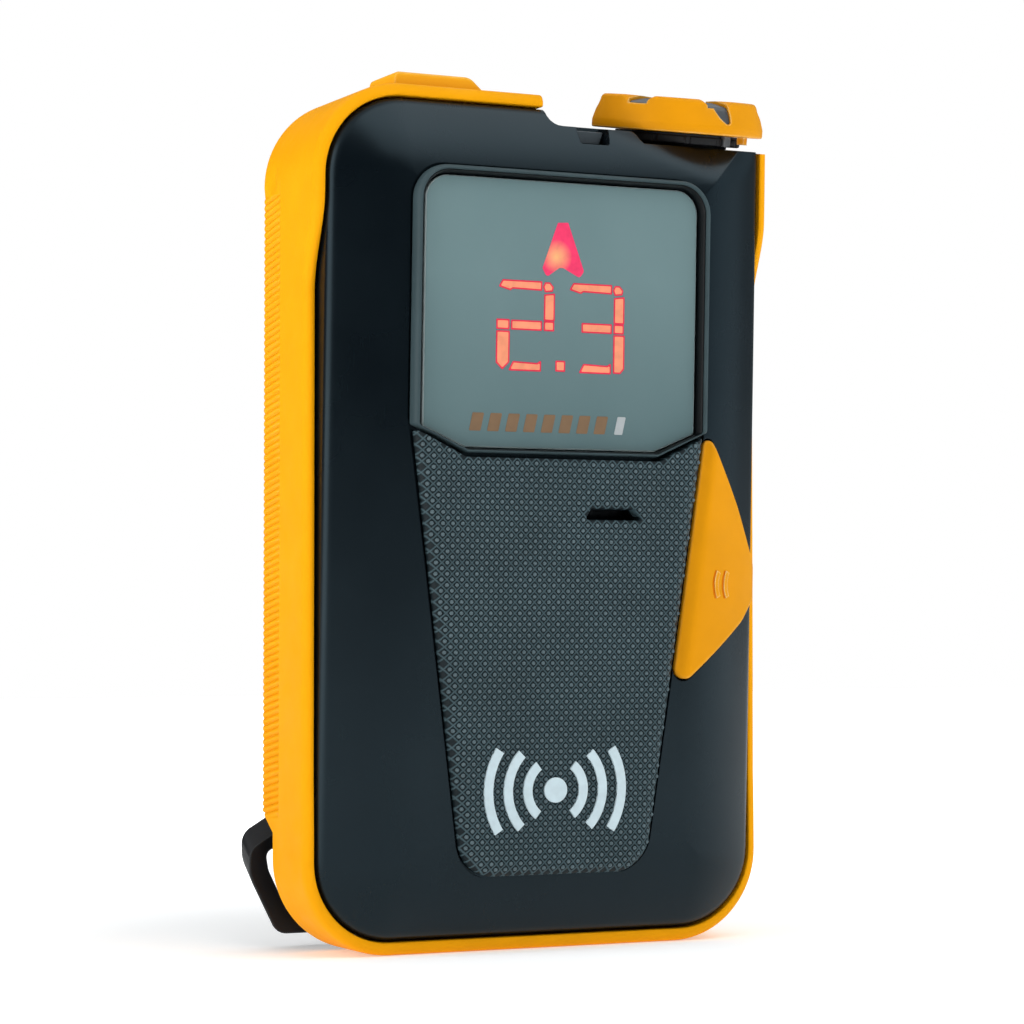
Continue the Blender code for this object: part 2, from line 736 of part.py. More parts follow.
def make_dial(looks):
    """The dial's pieces stand on an empty whose Z is the tilted axis; its origin is the middle of the cap's underside."""
    axis = bpy.data.objects.new("dial_axis", None)
    bpy.context.scene.collection.objects.link(axis)
    axis.location = Vector(DIAL_CENTRE) * MM
    axis.rotation_euler = (math.radians(DIAL_TILT), 0, 0)
    up = ((0, 0, 0), (0, 0, 1))
    top = DIAL_HEIGHT
    cap_profile = [
        (2.8, 3.4),
        (2.8, 0.0),
        (DIAL_RADIUS - 0.2, 0.0),
        (DIAL_RADIUS, 0.2),
        (DIAL_RADIUS, 1.2),
        (DIAL_RADIUS - 0.5, 3.6),
        (DIAL_RADIUS - 1.0, top - 0.3),
        (DIAL_RADIUS - 1.6, top),
    ]
    cap = piece("mode_dial_cap", turned(*up, cap_profile, steps=36), looks["orange"], parent=axis)
    scallops = []
    for arm in range(DIAL_ARMS):
        angle = math.radians(-90 + 360 / DIAL_ARMS * (arm + 0.5))
        x = 13.2 * math.cos(angle)
        y = 13.2 * math.sin(angle)
        scallops.append(rod((x, y, 2.2), (x * 0.985, y * 0.985, 8.0), 2.2, steps=16))
    combine(cap, cutter("dial_scallops", *scallops, parent=axis), "DIFFERENCE")
    groove = cutter("dial_inlay_groove", star(GAP, top - 0.9, top + 2), parent=axis)
    combine(cap, groove, "DIFFERENCE")
    piece("mode_dial_inlay", star(0.0, top - 0.6, top), looks["inlay"], parent=axis)
    skirt = piece("mode_dial_skirt", turned(*up, ring_profile(2.8, 9.3, -1.6, -GAP), ring=True, steps=24), looks["dark"],
                  parent=axis)
    marks = []
    for index in range(12):
        angle = math.radians(30 * index + 15)
        x = 9.7 * math.cos(angle)
        y = 9.7 * math.sin(angle)
        marks.append(rod((x, y, -2.5), (x, y, 0.5), 0.9, steps=8))
    combine(skirt, cutter("skirt_notches", *marks, parent=axis), "DIFFERENCE")
    piece("mode_dial_shaft", rod((0, 0, -13.0), (0, 0, 3.1), SHAFT_RADIUS), looks["dark"], parent=axis)
    section = [(3.45 + 0.6 * math.cos(a), -3.1 + 0.6 * math.sin(a)) for a in (math.tau * i / 6 for i in range(6))]
    piece("dial_o_ring", turned(*up, section, ring=True), looks["rubber"], parent=axis)
    wheel = piece("dial_detent_wheel", turned(*up, ring_profile(2.6, 6.5, -8.8, -7.6), ring=True, steps=18),
                  looks["brass"], parent=axis)
    teeth = []
    for index in range(9):
        angle = math.radians(40 * index)
        x = 6.9 * math.cos(angle)
        y = 6.9 * math.sin(angle)
        teeth.append(rod((x, y, -10.0), (x, y, -7.0), 0.9, steps=8))
    combine(wheel, cutter("detent_notches", *teeth, parent=axis), "DIFFERENCE")
    piece("dial_clip", turned(*up, ring_profile(2.6, 4.3, -9.8, -9.1), ring=True), looks["steel"], parent=axis)
    piece("dial_magnet", rod((0, 0, -15.4), (0, 0, -13.3), 2.3), looks["steel"], parent=axis)
    leaf = loft(
        [
            [(-7.6, -5.0, z), (-7.2, -5.0, z), (-6.9, 0.0, z), (-7.2, 5.0, z), (-7.6, 5.0, z), (-7.3, 0.0, z)]
            for z in (-8.7, -7.7)
        ]
    )
    piece("detent_spring", leaf, looks["steel"], parent=axis)
    return axis


def ring_profile(inner, outer, low, high):
    return [(inner, low), (outer, low), (outer, high), (inner, high)]


def star(grow, low, high):
    """The inlay's outline: six tapered arms, the front one longer and pointed."""
    outline = []
    for arm in range(DIAL_ARMS):
        heading = math.radians(-90 + 360 / DIAL_ARMS * arm)
        reach = 9.4 if arm == 0 else 8.6
        half = 1.0 if arm == 0 else 1.7
        valley = heading + math.pi / DIAL_ARMS
        for side in (-1, 1):
            tip_x = (reach + grow) * math.cos(heading) - side * (half + grow) * math.sin(heading)
            tip_y = (reach + grow) * math.sin(heading) + side * (half + grow) * math.cos(heading)
            outline.append((tip_x, tip_y))
        outline.append(((4.2 + grow) * math.cos(valley), (4.2 + grow) * math.sin(valley)))
    return loft([[(x, y, z) for x, y in outline] for z in (low, high)])


# -------------------------------------------------------------- lock button


def helix(centre, radius, low, high, turns, per_turn=8):
    """Points of a coil about an upright line."""
    count = turns * per_turn
    points = []
    for i in range(count + 1):
        angle = 2 * math.pi * i / per_turn
        z = low + (high - low) * i / count
        points.append((centre[0] + radius * math.cos(angle), centre[1] + radius * math.sin(angle), z))
    return points


def wire(name, points, radius, look):
    """A round wire along a line of points, as a curve with filled ends."""
    curve = bpy.data.curves.new(name, "CURVE")
    curve.dimensions = "3D"
    curve.bevel_depth = radius * MM
    curve.bevel_resolution = 1
    curve.use_fill_caps = True
    line = curve.splines.new("POLY")
    line.points.add(len(points) - 1)
    for target, point in zip(line.points, points):
        target.co = (*(value * MM for value in point), 1.0)
    curve.materials.append(look)
    made = bpy.data.objects.new(name, curve)
    bpy.context.scene.collection.objects.link(made)
    return made


def make_lock(looks):
    x, y = LOCK_STEM
    top = LOCK_TOP
    outline = [(-22.4, 118.9), (-8.5, 118.9), (-8.5, 120.2), (-9.7, 121.4), (-10.9, top - 0.15), (-12.4, top)]
    outline += [(-21.4, top), (-22.0, top - 0.3), (-22.4, top - 1.2)]
    button = piece("lock_button", prism(outline, LOCK_FRONT_Y, LOCK_BACK_Y), looks["orange"], pivot=(x, y, 118.9))
    combine(button, cutter("lock_spring_pocket", rod((x, y, 115.0), (x, y, 121.1), 3.0)), "DIFFERENCE")
    combine(button, cutter("lock_stem", rod((x, y, 110.3), (x, y, 121.6), 1.4, steps=16)), "UNION")
    wire("lock_spring", helix((x, y), 2.2, 118.35, 120.5, 3), 0.25, looks["steel"])
    piece("lock_clip", tube((x, y, 114.7), (x, y, 115.5), 3.0, 1.6, steps=16), looks["steel"], pivot=(x, y, 118.9))
    bar = block((-18.0, -2.9, 109.0), (14.6, -0.9, 110.0))
    piece("lock_bar", bar, looks["dark"], pivot=(x, y, 118.9))


# ------------------------------------------------------------- battery bay


def cell_places():
    return [(CELL_PITCH * (i - 1), i + 1) for i in range(3)]


def make_battery_bay(looks):
    cradle = piece("battery_cradle", block((-19.0, -1.5, 6.9), (19.0, -0.5, 60.6)), looks["dark"])
    walls = [
        block((-19.0, -1.0, 6.9), (-17.6, 8.6, 60.6)),
        block((17.6, -1.0, 6.9), (19.0, 8.6, 60.6)),
    ]
    ends = [block((-18.0, -1.0, 6.9), (18.0, 8.6, 7.9)), block((-18.0, -1.0, 59.6), (18.0, 8.6, 60.6))]
    combine(cradle, cutter("cradle_sides", *walls), "UNION")
    combine(cradle, cutter("cradle_ends", *ends), "UNION")
    for x, number in cell_places():
        top = CELL_LOW + CELL_LENGTH
        profile = [
            (CELL_RADIUS - 0.5, 0),
            (CELL_RADIUS, 0.4),
            (CELL_RADIUS, CELL_LENGTH - 1.6),
            (CELL_RADIUS - 0.4, CELL_LENGTH - 1.0),
            (1.9, CELL_LENGTH - 1.0),
            (1.9, CELL_LENGTH),
        ]
        start = (x, CELL_Y, CELL_LOW)
        piece(f"battery_{number}", turned(start, (x, CELL_Y, top), profile), looks["cell"])
        coil = helix((x, CELL_Y), 2.8, 9.4, 11.3, 3)
        wire(f"battery_spring_{number}", coil, 0.35, looks["steel"])
    piece("battery_contact_lower", block((-17.0, 1.6, 8.3), (17.0, 8.4, 8.8)), looks["steel"])
    piece("battery_contact_upper", block((-17.0, 0.6, 57.1), (17.0, 9.6, 57.6)), looks["steel"])


def make_battery_door(looks):
    hinge = (0.0, HINGE_Y, HINGE_Z)
    outline = rounded(box_outline(DOOR_HALF_WIDTH, DOOR_LOW, DOOR_HIGH, 1.2))
    panel = piece("battery_door", prism(outline, DOOR_FRONT_Y, BACK_Y), looks["shell"], pivot=hinge)
    arms = [block((side * 10 - 2.0, DOOR_FRONT_Y - 0.5, 60.8), (side * 10 + 2.0, 13.2, HINGE_Z)) for side in (-1, 1)]
    knuckles = [rod((side * 10 - 2.0, HINGE_Y, HINGE_Z), (side * 10 + 2.0, HINGE_Y, HINGE_Z), 1.35) for side in (-1, 1)]
    combine(panel, cutter("door_arms", *arms), "UNION")
    combine(panel, cutter("door_knuckles", *knuckles), "UNION")
    eye = rod((-13.0, HINGE_Y, HINGE_Z), (13.0, HINGE_Y, HINGE_Z), 0.75, steps=16)
    combine(panel, cutter("door_pin_hole", eye), "DIFFERENCE")
    sink = [(1.7, 0), (1.7, 4.75), (2.7, 4.75), (2.7, 12.0)]
    hole = turned((0, 8.2, DOOR_SCREW_Z), (0, 20.0, DOOR_SCREW_Z), sink, steps=20)
    combine(panel, cutter("door_screw_hole", hole), "DIFFERENCE")
    piece("door_hinge_pin", rod((-14.0, HINGE_Y, HINGE_Z), (14.0, HINGE_Y, HINGE_Z), 0.6, steps=16), looks["steel"])
    outer = rounded(box_outline(19.4, 11.1, 60.4, 1.2))
    inner = rounded(box_outline(17.9, 11.9, 59.2, 0.8))
    loops = [flat_loop(inner, 11.6), flat_loop(outer, 11.6), flat_loop(outer, 12.1), flat_loop(inner, 12.1)]
    piece("door_seal", loft(loops, ring=True), looks["rubber"], pivot=hinge)
    make_door_screw(looks["steel"])


def make_door_screw(look):
    """The coin-slot screw that holds the foot of the door."""
    turn_axis = (0.0, BACK_Y, DOOR_SCREW_Z)
    profile = [(2.1, 0), (2.4, 0.15), (2.4, 0.4), (1.2, 0.4), (1.2, 3.7), (0.9, 4.0)]
    body = turned((0, 13.4, DOOR_SCREW_Z), (0, 5.0, DOOR_SCREW_Z), profile, steps=20)
    made = piece("door_screw", body, look, pivot=turn_axis)
    slot = block((-1.8, 13.2, DOOR_SCREW_Z - 0.4), (1.8, 15.0, DOOR_SCREW_Z + 0.4))
    combine(made, cutter("coin_slot", slot), "DIFFERENCE")


# --------------------------------------------------------------- electronics


def make_board(looks):
    outline = [
        (-19.5, 8.0),
        (19.5, 8.0),
        (19.5, 16.5),
        (29.0, 16.5),
        (29.0, 91.5),
        (21.0, 91.5),
        (21.0, 100.0),
        (-21.0, 100.0),
        (-21.0, 91.5),
        (-29.0, 91.5),
        (-29.0, 16.5),
        (-19.5, 16.5),
    ]
    board = piece("main_board", prism(outline, BOARD_FRONT_Y, BOARD_BACK_Y), looks["board"])
    holes = [rod((x, -8.0, z), (x, 2.0, z), 1.5, steps=16) for x, z in BOARD_SCREWS]
    combine(board, cutter("board_holes", *holes), "DIFFERENCE")
    piece("processor_chip", block((-12.0, -5.1, 40.0), (-2.0, BOARD_FRONT_Y - GAP, 50.0)), looks["dark"])
    piece("radio_chip", block((-10.0, -4.9, 24.0), (-3.0, BOARD_FRONT_Y - GAP, 31.0)), looks["dark"])
    for number, (x, z) in enumerate(BOARD_SCREWS, 1):
        piece(f"board_screw_{number}", screw(x, z, -0.4, -6.4, head=2.2, shank=1.2, depth=1.2), looks["steel"])


def make_antennas(looks):
    x = -25.0
    y = 4.4
    piece("antenna_long_core", rod((x, y, 22.0), (x, y, 90.0), 2.8), looks["ferrite"])
    piece("antenna_long_coil", tube((x, y, 34.0), (x, y, 78.0), 4.0, 3.1), looks["copper"])
    holder = piece("antenna_holder", block((-29.4, -1.6, 23.5), (-20.6, 7.8, 27.0)), looks["dark"])
    arms = [
        block((-29.4, -1.6, 85.0), (-20.6, 7.8, 88.5)),
        block((-27.0, -1.6, 26.0), (-23.0, -0.2, 86.0)),
    ]
    combine(holder, cutter("holder_top", arms[0]), "UNION")
    combine(holder, cutter("holder_rail", arms[1]), "UNION")
    combine(holder, cutter("holder_bore", rod((x, y, 10.0), (x, y, 100.0), 3.1)), "DIFFERENCE")
    clear = rod((-22.5, -1.9, 84.0), (-22.5, 0.6, 84.0), 2.8)
    combine(holder, cutter("holder_relief", clear), "DIFFERENCE")
    z = 74.0
    piece("antenna_short_core", rod((-17.0, 5.0, z), (17.0, 5.0, z), 2.8), looks["ferrite"])
    piece("antenna_short_coil", tube((-11.0, 5.0, z), (11.0, 5.0, z), 4.0, 3.1), looks["copper"])
    spot = (8.0, 90.0)
    piece("antenna_upright_core", rod((spot[0], -0.8, spot[1]), (spot[0], 9.2, spot[1]), 3.6), looks["ferrite"])
    piece("antenna_upright_coil", tube((spot[0], 0.4, spot[1]), (spot[0], 8.2, spot[1]), 6.2, 3.9), looks["copper"])


def make_case_screws(look):
    for number, (x, z) in enumerate(CASE_SCREWS, 1):
        head_y = 12.9 if number == 1 else 13.2
        piece(f"case_screw_{number}", screw(x, z, head_y, -2.0), look)


def main():
    clear_scene()
    looks = {
        "shell": material("housing_black", (0.012, 0.014, 0.018), 0.32),
        "orange": material("safety_orange", (0.93, 0.40, 0.006), 0.5),
        "pad": material("grip_grey", (0.035, 0.052, 0.058), 0.7),
        "lens": material("smoked_lens", (0.16, 0.24, 0.25), 0.12),
        "rubber": material("seal_rubber", (0.02, 0.02, 0.02), 0.8),
        "dark": material("dark_plastic", (0.03, 0.03, 0.035), 0.5),
        "inlay": material("inlay_grey", (0.07, 0.08, 0.09), 0.5),
        "lamp": material("lamp_grey", (0.2, 0.22, 0.24), 0.3),
        "module": material("display_module", (0.35, 0.36, 0.36), 0.5),
        "board": material("circuit_green", (0.01, 0.12, 0.04), 0.5),
        "steel": material("steel", (0.62, 0.62, 0.6), 0.3, 1.0),
        "brass": material("brass", (0.7, 0.5, 0.2), 0.35, 1.0),
        "copper": material("copper_winding", (0.6, 0.27, 0.12), 0.35, 1.0),
        "ferrite": material("ferrite", (0.06, 0.06, 0.065), 0.6),
        "cell": material("cell_jacket", (0.25, 0.27, 0.3), 0.35),
    }
    dial_axis = make_dial(looks)
    make_front_shell(looks["shell"], dial_axis)
    make_rear_shell(looks["shell"], dial_axis)
    make_bumper(looks["orange"])
    make_shell_seal(looks["rubber"])
    make_lug(looks["dark"])
    make_face_parts(looks)
    make_speaker(looks)
    make_option_button(looks)
    make_lock(looks)
    make_battery_bay(looks)
    make_battery_door(looks)
    make_board(looks)
    make_antennas(looks)
    make_case_screws(looks["steel"])


main()
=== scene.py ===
"""Looks of the avalanche transceiver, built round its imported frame.

Outlines are in millimetres, in the frame's own axes: +Z is up, the face looks along -Y and +X is the
user's right.
"""

import json
import math

import bmesh
import bpy
from mathutils import Matrix, Vector


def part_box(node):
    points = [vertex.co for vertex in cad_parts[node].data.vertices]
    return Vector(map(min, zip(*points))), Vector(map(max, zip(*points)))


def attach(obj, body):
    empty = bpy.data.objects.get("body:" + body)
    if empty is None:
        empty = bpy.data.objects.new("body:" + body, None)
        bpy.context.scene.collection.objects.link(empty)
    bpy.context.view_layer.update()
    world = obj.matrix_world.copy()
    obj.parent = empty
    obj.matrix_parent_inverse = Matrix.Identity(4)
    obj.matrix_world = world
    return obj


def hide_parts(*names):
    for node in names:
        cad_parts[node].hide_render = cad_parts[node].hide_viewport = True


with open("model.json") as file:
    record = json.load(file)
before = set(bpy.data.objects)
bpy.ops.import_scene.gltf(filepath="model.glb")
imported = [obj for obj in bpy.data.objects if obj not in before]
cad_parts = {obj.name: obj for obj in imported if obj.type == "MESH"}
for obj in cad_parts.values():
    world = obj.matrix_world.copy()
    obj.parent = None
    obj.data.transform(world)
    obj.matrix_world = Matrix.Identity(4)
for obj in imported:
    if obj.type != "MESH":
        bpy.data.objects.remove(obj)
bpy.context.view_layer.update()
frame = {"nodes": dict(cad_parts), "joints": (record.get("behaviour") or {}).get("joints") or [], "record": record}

MM = 0.001
ORIGIN = Vector((0, 0, 0))
UP = Vector((0, 0, 1))
GAP = 0.3
CLEAR_HEIGHT = 9.0
ARC_STEPS = 14
ROUND_STEPS = 72
SHARP_ANGLE = math.radians(34)


def span(node):
    """Lowest and highest corner of a CAD node in millimetres."""
    low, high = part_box(node)
    return low / MM, high / MM


def joint_of(name):
    return next(joint for joint in frame["joints"] if joint["name"] == name)


# ---------------------------------------------------------------- driving sizes, read from the frame

shell_low, shell_high = span("front_shell")
bumper_low, bumper_high = span("side_bumper")
lens_low, lens_high = span("display_lens")
pad_low = span("grip_pad")[0]
door_low, door_high = span("battery_door")
lug_low, lug_high = span("lanyard_lug")
lock_low, lock_high = span("lock_button")

SHELL_HALF_WIDTH = shell_high.x
SHELL_LOW = shell_low.z
SHELL_HIGH = shell_high.z
SHELL_CORNER = 11.0
SHELL_WALL = 2.0
FRONT_WALL = 2.8
PARTING_Y = shell_high.y
BACK_Y = span("rear_shell")[1].y
REAR_WALL = 3.0
FACE_LOW_Y = -6.4
FACE_HIGH_Y = -10.5
DOME_RISE = 4.4
DOME_REACH = 14.0

BUMPER_HALF_WIDTH = bumper_high.x
BUMPER_HIGH = bumper_high.z
BUMPER_BACK_Y = bumper_high.y
BUMPER_CORNER = 13.0
BUMPER_SIDE_Y = -6.2
SHOULDER_LOW = 91.0
SHOULDER_HIGH = 104.0
FOOT_HIGH = 24.0
RIB_PITCH = 0.95
RIB_DEPTH = 0.5
RIB_LOW = 18.5
RIB_HIGH = 109.5
RIB_FRONT_Y = 3.1
RIB_SLANT = 0.17

ISLAND_HEIGHT = 5.9
ISLAND_BACK = 4.0
ISLAND_FLOOR = 3.7
LENS_FLOOR = 2.7
LENS_FRONT = 4.5
LENS_BACK = 3.6
LENS_HALF_WIDTH = lens_high.x
LENS_LOW = lens_low.z
LENS_HIGH = lens_high.z
PAD_LOW = pad_low.z
BEZEL_WIDTH = 1.7
DOT_PITCH = 1.48
DOT_ROW = 0.765
DOT_START = PAD_LOW + 0.3
DOT_MARGIN = 0.45

dial_joint = joint_of("mode_dial_turn")
DIAL_AXIS = Vector(dial_joint["axis"]).normalized()
DIAL_CENTRE = Vector(dial_joint["pos_m"]) / MM
# Its Z is the dial's tilted axis, and its origin is the middle of the cap's underside.
DIAL_PLACE = Matrix.Translation(DIAL_CENTRE) @ UP.rotation_difference(DIAL_AXIS).to_matrix().to_4x4()
DIAL_RADIUS = 12.5
DIAL_HEIGHT = 4.9
DIAL_ARMS = 6
NOTCH_LOW = 114.0
NOTCH_STEP = 115.6

BUTTON_PROUD = 0.9
BUTTON_STEM = Vector((25.8, 52.0))
LOCK_TOP = lock_high.z
LOCK_STEM = (lock_low + lock_high) / 2
DOOR_HALF_WIDTH = door_high.x
DOOR_LOW = door_low.z
DOOR_HIGH = 61.5
DOOR_FRONT_Y = 12.3
HINGE = Vector(joint_of("battery_door_swing")["pos_m"]) / MM
DOOR_SCREW_Z = 9.0
ARM_X = 10.0
CASE_SCREWS = ((-24.0, 12.0), (24.0, 12.0), (-27.0, 96.0), (27.0, 96.0))


# ---------------------------------------------------------------- outlines


def offset(corners, distance):
    """Moves the sides of a counter-clockwise outline of (x, z, radius) outwards, or inwards if negative."""
    moved = []
    for index, (x, z, radius) in enumerate(corners):
        before = corners[index - 1]
        after = corners[(index + 1) % len(corners)]
        into = Vector((x - before[0], z - before[1])).normalized()
        onward = Vector((after[0] - x, after[1] - z)).normalized()
        normal_in = Vector((into.y, -into.x))
        normal_out = Vector((onward.y, -onward.x))
        shift = (normal_in + normal_out) * (distance / (1 + normal_in.dot(normal_out)))
        if radius:
            turn = into.x * onward.y - into.y * onward.x
            radius = max(radius + distance * math.copysign(1.0, turn), 0.12)
        moved.append((x + shift.x, z + shift.y, radius))
    return moved


def rounded(corners, steps=ARC_STEPS):
    """The points of an outline of (x, z, radius): an arc at each corner, or a point where it is 0."""
    points = []
    for index, (x, z, radius) in enumerate(corners):
        if not radius:
            points.append((x, z))
            continue
        before = corners[index - 1]
        after = corners[(index + 1) % len(corners)]
        into = Vector((x - before[0], z - before[1])).normalized()
        onward = Vector((after[0] - x, after[1] - z)).normalized()
        turn = math.atan2(into.x * onward.y - into.y * onward.x, into.dot(onward))
        side = math.copysign(1.0, turn)
        reach = radius * math.tan(abs(turn) / 2)
        centre = Vector((x, z)) - into * reach + Vector((-into.y, into.x)) * radius * side
        start = math.atan2(-into.x * side, into.y * side)
        for step in range(steps + 1):
            angle = start + turn * step / steps
            points.append((centre.x + radius * math.cos(angle), centre.y + radius * math.sin(angle)))
    return points


def box_outline(left, right, low, high, radius):
    return [(left, low, radius), (right, low, radius), (right, high, radius), (left, high, radius)]


def dense(loops, step):
    """The same extra points on the long runs of every loop, no further apart than step on the first loop."""
    first = loops[0]
    counts = []
    for start, end in zip(first, first[1:] + first[:1]):
        counts.append(max(1, math.ceil((Vector(end) - Vector(start)).length / step)))
    filled = []
    for loop in loops:
        points = []
        for start, end, count in zip(loop, loop[1:] + loop[:1], counts):
            points += [tuple(Vector(start).lerp(Vector(end), i / count)) for i in range(count)]
        filled.append(points)
    return filled


def circle(centre, radius, steps=ROUND_STEPS):
    turns = [math.tau * i / steps for i in range(steps)]
    return [(centre[0] + radius * math.cos(turn), centre[1] + radius * math.sin(turn)) for turn in turns]


def smooth(share):
    share = min(max(share, 0.0), 1.0)
    return share * share * (3 - 2 * share)


def shell_corners(top_right=1.2):
    corners = box_outline(-SHELL_HALF_WIDTH, SHELL_HALF_WIDTH, SHELL_LOW, SHELL_HIGH, SHELL_CORNER)
    corners[2] = (SHELL_HALF_WIDTH, SHELL_HIGH, top_right)
    return corners


def bezel_corners(grow):
    """The frame round the lens, with its lower corners cut off; grow is its width over the lens's outline."""
    half = LENS_HALF_WIDTH + grow
    low = LENS_LOW - grow * 0.45
    high = LENS_HIGH + grow * 0.75
    cut = low + 2.7 + grow * 0.6
    round_top = 3.4 + grow * 0.8
    corners = [(-14.8, low, 0.5), (14.8, low, 0.5), (half, cut, 0.5)]
    return corners + [(half, high, round_top), (-half, high, round_top), (-half, cut, 0.5)]


PAD_RIGHT = (22.5, 72.15)
PAD_LEFT = (-22.5, 72.15)


def pad_corners(inset=0.0):
    """The tapered grip pad. Its top edge follows the bezel's cut lower corners."""
    base = [
        (-14.2, PAD_LOW, 5.5),
        (14.2, PAD_LOW, 5.5),
        (*PAD_RIGHT, 0.3),
        (14.75, 68.4, 0.3),
        (-14.75, 68.4, 0.3),
        (*PAD_LEFT, 0.3),
    ]
    if not inset:
        return base
    corners = offset(base, -inset)
    return corners[:2] + [(x, z + inset, radius) for x, z, radius in corners[2:]]


def island_corners():
    half = LENS_HALF_WIDTH + BEZEL_WIDTH
    bezel = bezel_corners(BEZEL_WIDTH)
    return pad_corners()[:2] + [(half, 74.0, 0.4), bezel[3], bezel[4], (-half, 74.0, 0.4)]


def button_corners():
    return [
        (18.25, 35.9, 1.4),
        (30.8, 46.0, 1.2),
        (33.3, 49.2, 2.0),
        (33.3, 54.2, 3.0),
        (29.4, 62.4, 8.0),
        (23.28, 73.4, 0.8),
    ]


def slot_outline():
    return [(3.4, 60.1), (12.2, 60.1), (11.1, 61.6), (4.3, 61.6)]


# ---------------------------------------------------------------- the face as a surface


def face_y(z):
    """The plane through the edge of the face, which leans forward towards the top."""
    return FACE_LOW_Y + (FACE_HIGH_Y - FACE_LOW_Y) * (z - SHELL_LOW) / (SHELL_HIGH - SHELL_LOW)


def dome(inset):
    """How far the face rises at this distance in from its edge."""
    return DOME_RISE * (1 - (1 - min(inset / DOME_REACH, 1.0)) ** 2)


def shell_inset(x, z):
    """Distance in from the housing's rounded outline."""
    across = SHELL_HALF_WIDTH - abs(x)
    up = min(z - SHELL_LOW, SHELL_HIGH - z)
    square = x > 0 and z > SHELL_HIGH / 2
    if across < SHELL_CORNER and up < SHELL_CORNER and not square:
        return SHELL_CORNER - math.hypot(SHELL_CORNER - across, SHELL_CORNER - up)
    return min(across, up)


SCOOP_LEFT = Vector((13.6, 113.8))
SCOOP_FOOT = Vector((27.2, 108.7))
SCOOP_RIGHT = Vector((33.2, 113.9))
SCOOP_DEPTH = 2.1
SCOOP_BLEND = 1.5


def scoop(x, z):
    """The thumb hollow under the dial: two soft slopes that meet at its foot."""
    sides = []
    for start, end in ((SCOOP_LEFT, SCOOP_FOOT), (SCOOP_FOOT, SCOOP_RIGHT)):
        along = (end - start).normalized()
        sides.append((x - start.x) * -along.y + (z - start.y) * along.x)
    depth = -math.log(sum(math.exp(-side / SCOOP_BLEND) for side in sides)) * SCOOP_BLEND
    return SCOOP_DEPTH * smooth((depth + 1.4) / 7.0)


def face_height(x, z):
    return dome(max(shell_inset(x, z), 0.0)) - scoop(x, z)


def path_distance(x, z, path):
    """Distance from a point to the nearest of the straight runs of a path."""
    nearest = math.inf
    for (ax, az), (bx, bz) in zip(path, path[1:]):
        run = max((bx - ax) ** 2 + (bz - az) ** 2, 1e-9)
        share = min(max(((x - ax) * (bx - ax) + (z - az) * (bz - az)) / run, 0.0), 1.0)
        nearest = min(nearest, math.hypot(x - ax - share * (bx - ax), z - az - share * (bz - az)))
    return nearest


def inside(point, outline):
    crossings = 0
    for (ax, az), (bx, bz) in zip(outline, outline[1:] + outline[:1]):
        if (az > point[1]) != (bz > point[1]):
            crossings += point[0] < ax + (point[1] - az) * (bx - ax) / (bz - az)
    return crossings % 2 == 1


# ---------------------------------------------------------------- solids, each a pair of points and faces


def flat_loop(points, y):
    return [(x, y, z) for x, z in points]


def face_loop(points, height):
    """A loop that lies at this height over the leaning plane of the face."""
    return [(x, face_y(z) - height, z) for x, z in points]


def loft(loops, ring=False):
    """A skin over loops with equal counts, capped at both ends, or joined end to start to make a ring."""
    count = len(loops[0])
    points = [tuple(point) for loop in loops for point in loop]
    faces = []
    for row in range(len(loops) if ring else len(loops) - 1):
        here = row * count
        there = (row + 1) % len(loops) * count
        for i in range(count):
            j = (i + 1) % count
            faces.append((here + i, here + j, there + j, there + i))
    if not ring:
        faces.append(tuple(range(count)))
        faces.append(tuple(range(len(points) - count, len(points))))
    return points, faces


def prism(outline, front, back):
    return loft([flat_loop(outline, front), flat_loop(outline, back)])


def plate(corners, low, high, soft=0.0, steps=ARC_STEPS):
    """An outline of (x, z, radius) between two heights over the face's plane, with a rounded front edge."""
    loops = [face_loop(rounded(corners, steps), low)]
    turns = 5 if soft else 0
    for i in range(turns + 1):
        angle = math.pi / 2 * i / max(turns, 1)
        inset = soft * (1 - math.cos(angle))
        loops.append(face_loop(rounded(offset(corners, -inset), steps), high - soft + soft * math.sin(angle)))
    return loft(loops)


def flat_plate(points, low, high):
    return loft([face_loop(points, low), face_loop(points, high)])


def block(low, high):
    outline = [(low[0], low[2]), (high[0], low[2]), (high[0], high[2]), (low[0], high[2])]
    return prism(outline, low[1], high[1])


def turned(start, end, profile, ring=False, steps=ROUND_STEPS):
    """A shape turned about the line from start to end; profile lists (radius, distance from start)."""
    along = (Vector(end) - Vector(start)).normalized()
    helper = Vector((1, 0, 0)) if abs(along.x) < 0.9 else Vector((0, 1, 0))
    first = along.cross(helper).normalized()
    second = along.cross(first)
    loops = []
    for radius, reach in profile:
        turns = [math.tau * i / steps for i in range(steps)]
        centre = Vector(start) + along * reach
        loops.append([tuple(centre + (first * math.cos(t) + second * math.sin(t)) * radius) for t in turns])
    return loft(loops, ring)


def rod(start, end, radius, steps=ROUND_STEPS):
    length = (Vector(end) - Vector(start)).length
    return turned(start, end, [(radius, 0), (radius, length)], steps=steps)


def tube(start, end, outer, inner, steps=ROUND_STEPS):
    length = (Vector(end) - Vector(start)).length
    profile = [(inner, 0), (outer, 0), (outer, length), (inner, length)]
    return turned(start, end, profile, ring=True, steps=steps)


# ---------------------------------------------------------------- objects


